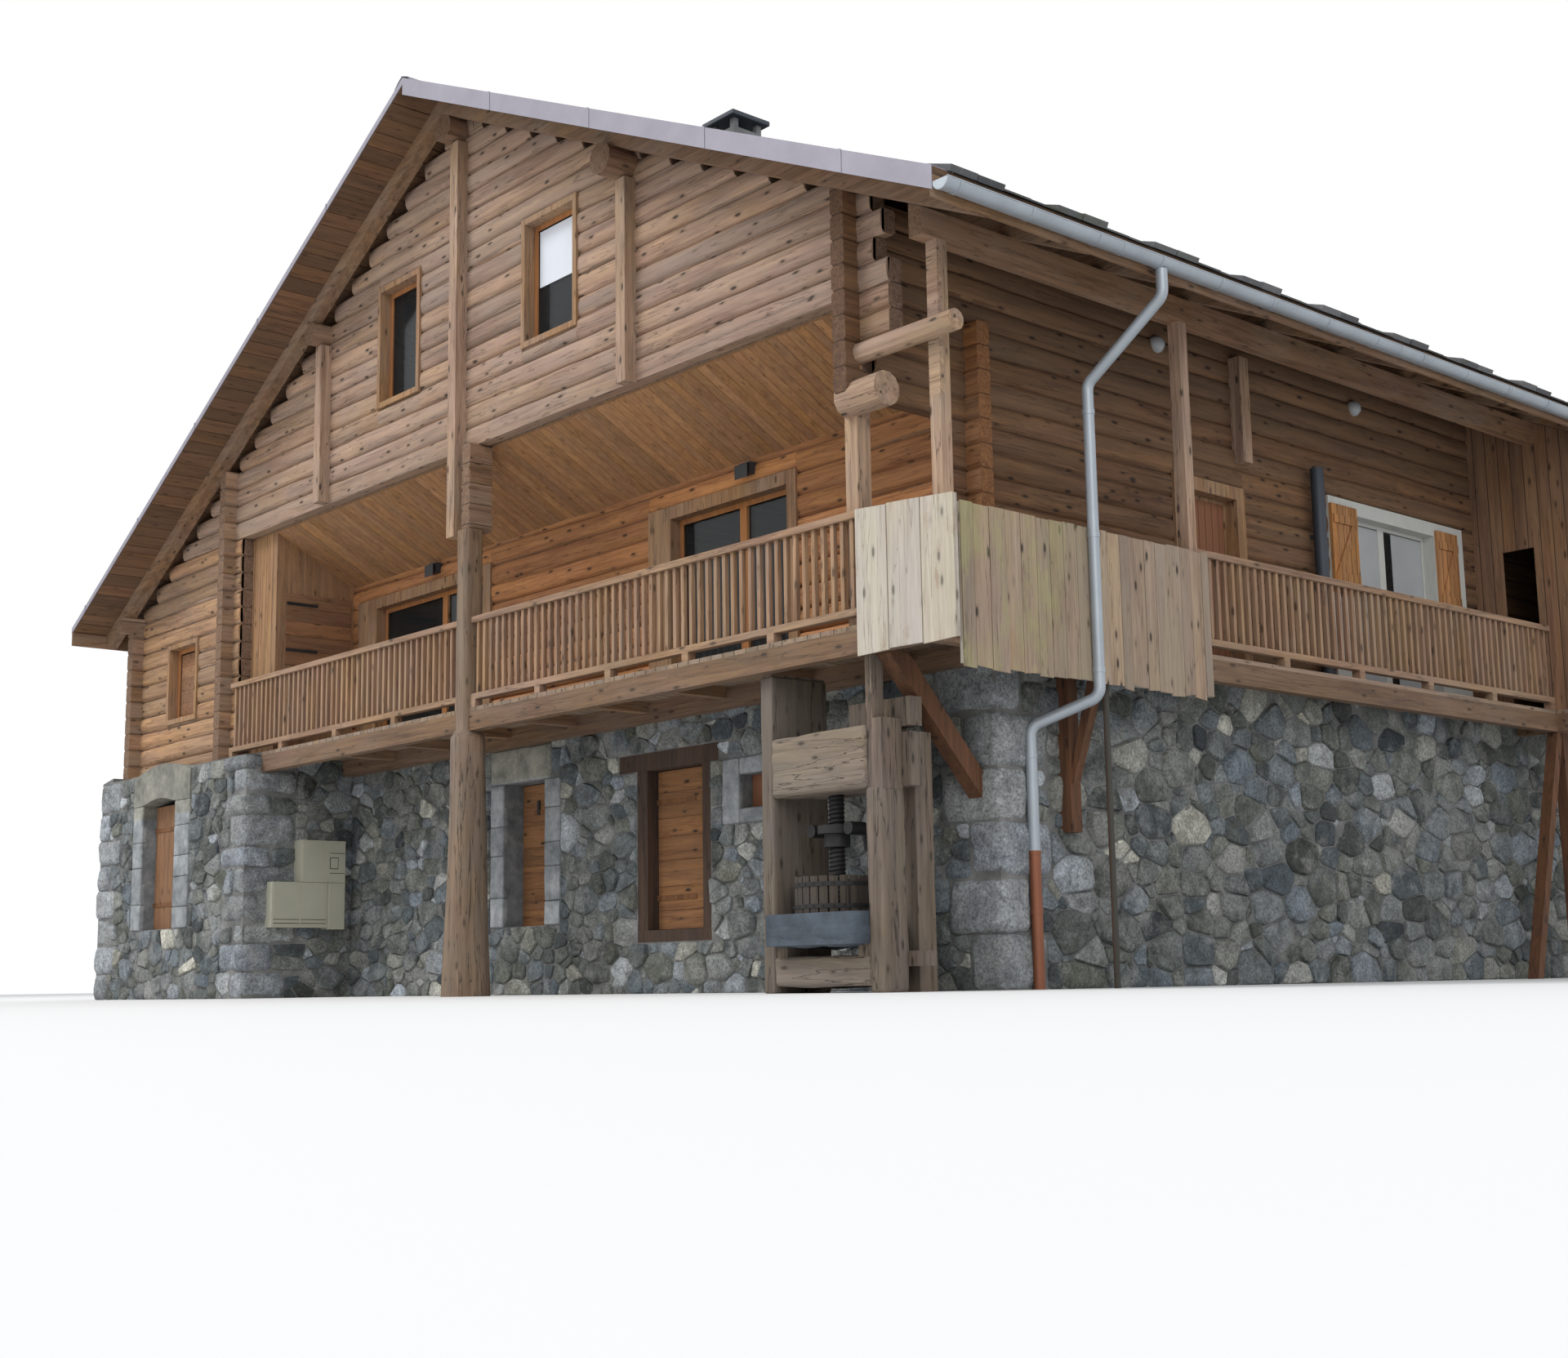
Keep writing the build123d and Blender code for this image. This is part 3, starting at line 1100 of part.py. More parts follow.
PIECES = {
    "front_walls": lambda: bay_walls() + cellar_walls(),
    "side_walls": side_walls,
    "back_wall": back_wall,
    "walls_at_doors": walls_at_doors,
    "dressed_jambs": dressed_jambs,
    "dressed_lintels": dressed_lintels,
    "cellar_door_frame": cellar_door_frame,
    "bay_door": bay_door,
    "cellar_door_a": cellar_door_a,
    "cellar_door_b": cellar_door_b,
    "floors": floors,
    "gable_logs": gable_logs,
    "west_logs": west_logs,
    "cross_logs": lambda: cross_logs() + [log_console()],
    "recessed_logs": recessed_logs,
    "east_logs": east_logs,
    "north_logs": north_logs,
    "ceiling": ceiling,
    "closet": closet,
    "cabin": cabin,
    "purlins": purlins,
    "rafters": rafters,
    "roof_left": roof_left,
    "roof_right": roof_right,
    "verge_flashing": verge_flashing,
    "eave_boards": eave_boards,
    "gutter": gutter,
    "downpipe": downpipe,
    "chimney": chimney,
    "deck": deck,
    "edge_beams": edge_beams,
    "joists": joists,
    "railings": railings,
    "gallery_boarding": gallery_boarding,
    "main_post": main_post,
    "posts": posts,
    "braces": braces,
    "window_frames": window_frames,
    "glazing": glazing,
    "shutters": shutters,
    "fittings": fittings,
    "press_frame": press_frame,
    "press_trough": press_trough,
    "press_basket": press_basket,
    "press_screw": press_screw,
}

os.makedirs("parts", exist_ok=True)
for name, make in PIECES.items():
    solids = [Pos(-CENTRE_X, -CENTRE_Y, 0) * s for piece in make() for s in piece.solids()]
    export_step(Compound(solids), f"parts/{name}.step")
    print(name, len(solids))
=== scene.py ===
import math
import random

import bpy
from mathutils import Matrix, Vector, noise


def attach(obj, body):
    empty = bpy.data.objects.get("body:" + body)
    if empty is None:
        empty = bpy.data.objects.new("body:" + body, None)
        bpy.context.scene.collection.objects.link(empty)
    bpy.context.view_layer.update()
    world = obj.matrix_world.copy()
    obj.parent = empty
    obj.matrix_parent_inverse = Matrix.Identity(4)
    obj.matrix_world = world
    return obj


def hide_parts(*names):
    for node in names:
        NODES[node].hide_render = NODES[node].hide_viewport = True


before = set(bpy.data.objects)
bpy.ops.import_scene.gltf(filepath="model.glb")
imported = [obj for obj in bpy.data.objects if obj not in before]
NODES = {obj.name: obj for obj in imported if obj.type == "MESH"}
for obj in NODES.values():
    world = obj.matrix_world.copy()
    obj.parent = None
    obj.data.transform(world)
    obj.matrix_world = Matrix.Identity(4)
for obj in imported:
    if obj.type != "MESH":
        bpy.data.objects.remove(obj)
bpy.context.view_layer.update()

# Metres. Places are given in the working frame of the CAD source, X from the ridge and Y from the gable,
# and at() moves them into the row's frame.
RIDGE_X, GABLE_Y = 0.37, -6.6
LOG_WALL, LOG_END = 0.16, 0.17
LOG_WEST, LOG_EAST = -8.26, 6.30
RECESS, HOUSE_BACK = 1.25, 13.2
STONE_PAST, STONE_TOP = 0.35, 2.92
DECK_TOP, GABLE_BOTTOM = 2.96, 5.82
COURSE = (GABLE_BOTTOM - STONE_TOP) / 13
RIDGE_TOP = 9.89
SLOPES = {-1: 0.5448, 1: 0.4686}
EAVES = {-1: 8.80, 1: 7.90}
ROOF_PLATE, RAFTERS = 0.07, 0.19
VERGE = 0.75
BAY_FRONT, BAY_RETURN, BAY_LOGS, CELLAR_FRONT = -0.30, -4.24, -5.33, 1.14
CLOSET_SIDE = -4.5
STONE_WEST, STONE_EAST = LOG_WEST - STONE_PAST, LOG_EAST + STONE_PAST
STONE_BACK = HOUSE_BACK + STONE_PAST
WEST_END, EAST_END = LOG_WEST - LOG_END, LOG_EAST + LOG_END
GALLERY_OUTER, GALLERY_END = 7.15, 9.85

# Openings: both ends along the wall, foot and head
BAY_DOOR, DOOR_A, DOOR_B = (-7.21, -6.22, 0.89, 2.52), (-0.79, 0.02, 0.74, 2.33), (1.83, 2.72, 0.63, 2.25)
BAY_WINDOW = (-7.21, -6.37, 3.66, 4.66)
GABLE_WINDOWS = ((-1.69, -0.84, 6.74, 8.11), (1.29, 2.20, 6.68, 8.00))
SLIDERS = ((-3.89, -1.38, DECK_TOP, 4.86), (2.13, 3.99, DECK_TOP, 4.86))
SIDE_DOOR, WHITE_WINDOW = (4.27, 5.20, DECK_TOP, 4.84), (7.30, 8.95, DECK_TOP, 5.00)
WEST_WINDOWS = ((3.30, 4.14, 3.66, 4.66), (8.40, 9.24, 3.66, 4.66))
BACK_WINDOWS = ((-4.00, -3.16, 3.66, 4.66), (1.50, 2.34, 3.66, 4.66), (-0.425, 0.425, 6.74, 8.00))
# What the rubble leaves out round them: cut stone, or the frame of the right cellar door
BAY_SURROUND = (-7.50, -5.78, BAY_DOOR[2], STONE_TOP)
SURROUND_A, LINTEL_A = (-1.05, 0.31, *DOOR_A[2:]), (-1.05, 0.14, DOOR_A[3], 2.72)
FRAME_B, HEAD_B = (1.67, 2.86, 0.51, DOOR_B[3]), (1.37, 2.99, DOOR_B[3], 2.43)
CELLAR_WINDOW = (3.06, 4.10, 1.61, 2.24)


def at(x, y, z):
    """A point of the working frame in the row's frame."""
    return (x + RIDGE_X, y + GABLE_Y, z)


# Materials

AXES = "xyz"


class Mat:
    """A node material, with short words for its nodes. It is laid out in the object's own coordinates."""

    def __init__(self, name, rough=0.8, metal=0.0):
        self.m = bpy.data.materials.new(name)
        self.m.use_nodes = True
        self.t = self.m.node_tree
        self.inputs = self.t.nodes["Principled BSDF"].inputs
        self.put(self.inputs["Roughness"], rough)
        self.put(self.inputs["Metallic"], metal)
        place = self.t.nodes.new("ShaderNodeTexCoord")
        self.coords = place.outputs["Object"]
        self.xyz = self.split(self.coords)
        self.normal = self.split(place.outputs["Normal"])

    def put(self, socket, value):
        if isinstance(value, bpy.types.NodeSocket):
            self.t.links.new(value, socket)
        elif isinstance(value, (tuple, list)) and len(value) == 3 and socket.type == "RGBA":
            socket.default_value = (*value, 1.0)
        else:
            socket.default_value = value

    def node(self, kind, inputs, output=0, **settings):
        """Adds a shader node with its settings and inputs, and gives one of its outputs."""
        n = self.t.nodes.new("ShaderNode" + kind)
        for key, value in settings.items():
            setattr(n, key, value)
        for key, value in inputs.items():
            self.put(n.inputs[key], value)
        return n.outputs[output]

    def split(self, vector):
        n = self.t.nodes.new("ShaderNodeSeparateXYZ")
        self.put(n.inputs[0], vector)
        return n.outputs

    def math(self, op, *values):
        return self.node("Math", dict(enumerate(values)), operation=op)

    def times(self, a, b):
        return self.math("MULTIPLY", a, b)

    def blend(self, a, b, mask):
        """Runs from a to b where a mask runs from 0 to 1."""
        return self.math("MULTIPLY_ADD", self.math("SUBTRACT", b, a), mask, a)

    def above(self, value, level, soft=0.01):
        """Runs from 0 to 1 where value passes level."""
        span = {"Value": value, "From Min": level - soft, "From Max": level + soft}
        return self.node("MapRange", span, clamp=True)

    def below(self, value, level, soft=0.01):
        return self.math("SUBTRACT", 1.0, self.above(value, level, soft))

    def vec(self, *values):
        return self.node("CombineXYZ", dict(enumerate(values)))

    def stretch(self, scales, offset=0.0):
        return self.vec(*[self.math("MULTIPLY_ADD", c, s, offset) for c, s in zip(self.xyz, scales)])

    def grain(self, axis, long, fine, offset):
        """Coordinates that stretch a texture along one axis."""
        return self.stretch([long if a == axis else fine for a in AXES], offset)

    def noise(self, vector, scale=1.0, detail=4.0, rough=0.55, distort=0.0):
        return self.node("TexNoise", {"Vector": vector, "Scale": scale, "Detail": detail, "Roughness": rough,
                                      "Distortion": distort}, "Fac")

    def white(self, vector):
        return self.node("TexWhiteNoise", {"Vector": vector}, "Value", noise_dimensions="3D")

    def cells(self, vector):
        """Distance to the nearest of scattered points."""
        return self.node("TexVoronoi", {"Scale": 1.0, "Vector": vector}, "Distance", feature="F1")

    def attribute(self, name):
        return self.node("Attribute", {}, "Fac", attribute_name=name)

    def ramp(self, fac, *stops):
        """Greys or colours between stops of a place and a value."""
        n = self.t.nodes.new("ShaderNodeValToRGB")
        elements = n.color_ramp.elements
        while len(elements) < len(stops):
            elements.new(0.5)
        for e, (place, value) in zip(elements, stops):
            e.position = place
            e.color = (*value, 1.0) if isinstance(value, tuple) else (value, value, value, 1.0)
        self.put(n.inputs[0], fac)
        return n.outputs[0]

    def mix(self, fac, a, b, mode="MIX"):
        return self.node("Mix", {0: fac, 6: a, 7: b}, 2, data_type="RGBA", blend_type=mode)

    def tint(self, base, factor):
        return self.mix(1.0, base, factor, "MULTIPLY")

    def patches(self, base, where, low, high, most, colour):
        """Lays another colour over the base where a value rises from low to high."""
        return self.mix(self.ramp(where, (low, 0.0), (high, most)), base, colour)

    def done(self, colour, height=None, depth=0.01):
        self.put(self.inputs["Base Color"], colour)
        if height is not None:
            bump = self.node("Bump", {"Strength": 1.0, "Distance": depth, "Height": height})
            self.put(self.inputs["Normal"], bump)
        return self.m


def darker(colour, share):
    return tuple(c * share for c in colour)


JOINT = 0.008                   # drawn joint between two boards


def wood(name, light, dark, axis, board=None, across=None, origin=0.0, weather=(0.30, 0.25, 0.20),
         amount=0.35, knots=0.7, spread=0.45, cracks=0.6, depth=0.004, tone=False, ends=False,
         region=None, turn=None):
    """Timber with its grain along one axis.

    board and across split it into boards, and tone reads them from the mesh. region paints another colour
    where a mask, made from the material, is 1. turn swaps the material's coordinates where timbers of one
    node run in different directions.
    """
    m = Mat(name, 0.85)
    if turn:
        m.xyz = turn(m)
    lines, jump, vary = None, 0.0, None
    if tone:
        vary = m.attribute("tone")
    elif board:
        pos = m.math("DIVIDE", m.math("SUBTRACT", m.xyz[AXES.index(across)], origin), board)
        part = m.math("FRACT", pos)
        vary = m.white(m.vec(m.math("FLOOR", pos), 3.1, 1.7))
        edge = m.math("MINIMUM", part, m.math("SUBTRACT", 1.0, part))
        lines = m.math("MINIMUM", m.times(edge, board / JOINT), 1.0)
        end_face = m.above(m.math("ABSOLUTE", m.normal[AXES.index(across)]), 0.7)
        lines = m.math("MAXIMUM", lines, end_face)
    if vary is None:
        vary = m.noise(m.coords, 0.7, 2.0)
    else:
        jump = m.times(vary, 37.0)
    grain = m.noise(m.grain(axis, 0.9, 16.0, jump), 1.0, 7.0, 0.62, 0.6)
    fine = m.noise(m.grain(axis, 3.6, 64.0, jump), 1.0, 5.0, 0.7, 0.2)
    both = m.math("ADD", m.times(grain, 0.7), m.times(fine, 0.3))
    middle = tuple((a + b) / 2 for a, b in zip(light, dark))
    base = m.ramp(both, (0.35, dark), (0.48, middle), (0.62, light))
    base = m.tint(base, m.math("MULTIPLY_ADD", vary, spread, 1.0 - spread / 2))
    drift = m.noise(m.grain(axis, 0.5, 2.2, m.math("ADD", jump, 20.0)), 1.0, 3.0, 0.6)
    base = m.tint(base, m.ramp(drift, (0.38, (1.06, 1.0, 0.84)), (0.62, (1.0, 0.93, 0.95))))
    blot = m.noise(m.grain(axis, 0.6, 1.6, jump), 1.3, 5.0, 0.6, 0.5)
    base = m.mix(m.times(m.ramp(blot, (0.42, 0.0), (0.68, 1.0)), amount), base, weather)
    if tone or board:
        base = m.mix(m.times(m.white(m.vec(vary, 1.0, 2.0)), amount), base, weather)
    if knots:
        spots = m.cells(m.grain(axis, 3.2, 9.0, m.math("ADD", jump, 2.0)))
        ring = m.ramp(spots, (0.16, 1.0), (0.27, 0.0))
        core = m.ramp(spots, (0.10, 1.0), (0.16, 0.0))
        base = m.mix(m.times(ring, knots * 0.5), base, darker(light, 0.45))
        base = m.mix(m.times(core, knots), base, darker(dark, 0.22))
    if cracks:
        run = m.noise(m.grain(axis, 0.5, 11.0, jump), 1.0, 4.0, 0.5, 0.3)
        gap = m.math("ABSOLUTE", m.math("SUBTRACT", run, 0.52))
        slit = m.ramp(gap, (0.0, 1.0), (0.007, 0.0))
        base = m.mix(m.times(slit, cracks), base, darker(dark, 0.2))
    if ends:
        cut_face = m.above(m.math("ABSOLUTE", m.normal[AXES.index(axis)]), 0.7, 0.1)
        rings = m.noise(m.coords, 26.0, 3.0, 0.6, 1.5)
        base = m.mix(cut_face, base, m.ramp(rings, (0.35, darker(dark, 0.75)), (0.65, darker(middle, 0.95))))
    if region:
        mask, colour = region(m)
        base = m.mix(mask, base, m.ramp(fine, (0.3, darker(colour, 0.86)), (0.7, colour)))
    height = m.math("ADD", m.times(grain, 0.6), m.times(fine, 0.25))
    if cracks:
        height = m.math("SUBTRACT", height, m.times(slit, 0.5))
    if lines is not None:
        base = m.mix(m.math("SUBTRACT", 1.0, lines), base, darker(dark, 0.25))
        height = m.math("ADD", height, m.times(lines, 1.2))
    return m.done(base, height, depth)


def plain(name, colour, rough=0.6, metal=0.0, bump=0.004, vary=0.15, second=None):
    """Paint, sheet or render with a faint mottle; second(m) gives a mask and another colour."""
    m = Mat(name, rough, metal)
    mottle = m.ramp(m.noise(m.coords, 2.5, 6.0, 0.6), (0.3, 1 - vary), (0.7, 1 + vary))
    base = colour
    if second:
        mask, other = second(m)
        base = m.mix(mask, colour, other)
    return m.done(m.tint(base, mottle), m.noise(m.coords, 22.0, 6.0, 0.7), bump)


def mortar(name):
    """Lime mortar behind the laid stones, grey, with pale fresh patches."""
    m = Mat(name, 0.95)
    base = m.ramp(m.noise(m.coords, 3.0, 8.0, 0.7), (0.3, (0.10, 0.10, 0.095)), (0.52, (0.20, 0.199, 0.19)),
                  (0.72, (0.36, 0.357, 0.342)))
    return m.done(base, m.noise(m.coords, 14.0, 8.0, 0.75), 0.03)


def rubble(name, hues, *stops):
    """Laid stones: each with its own tone and hue, mortar smeared over some, lichen and dark stains."""
    m = Mat(name, 0.9)
    tone = m.attribute("tone")
    base = m.ramp(tone, *stops)
    drift = m.ramp(m.white(m.vec(tone, 4.0, 9.0)), (0.0, (1.04, 1.0, 0.86)), (0.45, (1.0, 1.0, 0.97)),
                   (1.0, (0.9, 1.0, 1.16)))
    base = m.mix(hues, base, m.tint(base, drift))
    body = m.noise(m.coords, 6.0, 9.0, 0.7, 0.4)
    base = m.tint(base, m.ramp(body, (0.28, 0.45), (0.5, 1.0), (0.72, 1.75)))
    lime = m.noise(m.coords, 1.5, 9.0, 0.75)
    base = m.patches(base, lime, 0.50, 0.60, 0.7, (0.29, 0.29, 0.275))
    lichen = m.noise(m.stretch((1.7, 1.7, 1.7), 9.0), 1.0, 8.0, 0.72)
    base = m.patches(base, lichen, 0.56, 0.66, 0.5, (0.15, 0.145, 0.10))
    base = m.tint(base, m.ramp(m.noise(m.coords, 38.0, 5.0, 0.75), (0.36, 0.5), (0.5, 1.0), (0.66, 1.45)))
    return m.done(base, m.noise(m.coords, 15.0, 9.0, 0.75), 0.04)


def cut_stone(name):
    """Pale cut stone with blue-grey stains, yellower in the lintels."""
    m = Mat(name, 0.85)
    base = m.ramp(m.noise(m.coords, 5.0, 9.0, 0.7), (0.3, (0.13, 0.142, 0.15)), (0.48, (0.24, 0.255, 0.265)),
                  (0.7, (0.40, 0.41, 0.41)))
    base = m.tint(base, m.math("MULTIPLY_ADD", m.attribute("tone"), 0.5, 0.72))
    base = m.mix(m.above(m.xyz[2], 2.345, 0.02), base, m.tint(base, (0.95, 0.88, 0.72)))
    moss = m.noise(m.coords, 2.2, 9.0, 0.75)
    base = m.patches(base, moss, 0.6, 0.7, 0.6, (0.10, 0.10, 0.085))
    return m.done(base, m.noise(m.coords, 30.0, 6.0, 0.7), 0.012)


def shingle(name):
    """Old fibre cement shingles, dark grey with moss and pale lichen."""
    m = Mat(name, 0.9)
    base = m.ramp(m.attribute("tone"), (0.0, (0.075, 0.075, 0.08)), (0.5, (0.115, 0.115, 0.12)),
                  (1.0, (0.17, 0.168, 0.17)))
    moss = m.noise(m.coords, 0.9, 9.0, 0.75)
    base = m.patches(base, moss, 0.52, 0.66, 0.6, (0.075, 0.085, 0.035))
    pale = m.noise(m.coords, 7.0, 7.0, 0.7)
    base = m.patches(base, pale, 0.6, 0.72, 0.5, (0.26, 0.26, 0.23))
    return m.done(base, m.noise(m.coords, 24.0, 7.0, 0.7), 0.01)


def glass(name):
    """A pane that shows the dark room behind it."""
    m = Mat(name, 0.06)
    m.put(m.inputs["Specular IOR Level"], 0.5)
    m.put(m.inputs["Alpha"], 0.5)
    return m.done((0.02, 0.025, 0.028))


def along_beams(m):
    """Grain that follows the balcony's beams along x and the gallery's along y."""
    x, y, z = m.xyz
    side = m.times(m.above(x, 6.5 + RIDGE_X), m.above(y, 0.13 + GABLE_Y))
    return m.blend(x, y, side), m.blend(y, x, side), z


def along_rails(m):
    """As along_beams, but upright in the balusters."""
    along, out, z = along_beams(m)
    baluster = m.math("SUBTRACT", m.above(z, 3.105, 0.001), m.above(z, 3.86, 0.001))
    return m.blend(along, z, baluster), out, m.blend(z, along, baluster)


def along_cap_logs(m):
    """Upright grain, but along x in the two short logs at the gallery's corner."""
    x, y, z = m.xyz
    lying = m.times(m.above(x, 6.12 + RIDGE_X, 0.001), m.above(z, 4.745, 0.001))
    lying = m.times(lying, m.below(y, 0.112 + GABLE_Y, 0.001))
    return m.blend(x, z, lying), y, m.blend(z, x, lying)


def stained_left(m):
    """Yellow stains on the parapet's first boards."""
    patch = m.ramp(m.noise(m.stretch((2.0, 3.0, 1.2), 4.0), 1.0, 8.0, 0.7), (0.45, 0.0), (0.6, 0.75))
    return m.times(patch, m.below(m.xyz[1], 1.5 + GABLE_Y, 0.4)), (0.37, 0.33, 0.16)


def rusty_stains(m):
    """Reddish bare patches on the bleached boards."""
    patches = m.noise(m.stretch((4.0, 4.0, 1.3), 1.0), 1.0, 9.0, 0.72)
    return m.ramp(patches, (0.58, 0.0), (0.68, 0.7)), (0.34, 0.23, 0.15)


def dark_pole(m):
    """The round pole under the gallery, old and dark among the new timbers."""
    near = m.times(m.above(m.xyz[1], 2.0205 + GABLE_Y, 0.0005), m.below(m.xyz[1], 2.09 + GABLE_Y, 0.001))
    return m.times(near, m.above(m.xyz[0], 7.0 + RIDGE_X, 0.001)), (0.06, 0.055, 0.045)


def white_casing(m):
    """The painted casing of the gallery window."""
    mask = m.times(m.above(m.xyz[0], 6.0 + RIDGE_X), m.above(m.xyz[1], 6.6 + GABLE_Y))
    return m.times(mask, m.below(m.xyz[1], 9.7 + GABLE_Y)), (0.62, 0.62, 0.58)


def red_leaf(m):
    """The side door's leaf and the cellar window's board."""
    return m.below(m.xyz[1], 6.0 + GABLE_Y), (0.26, 0.105, 0.05)


def clay_foot(m):
    """The clay pipe that takes over from the zinc near the ground."""
    return m.below(m.xyz[2], 1.15, 0.004), (0.235, 0.085, 0.043)


def beige_boxes(m):
    """The meter boxes among the fittings."""
    return m.below(m.xyz[0], -3.9 + RIDGE_X), (0.47, 0.455, 0.36)


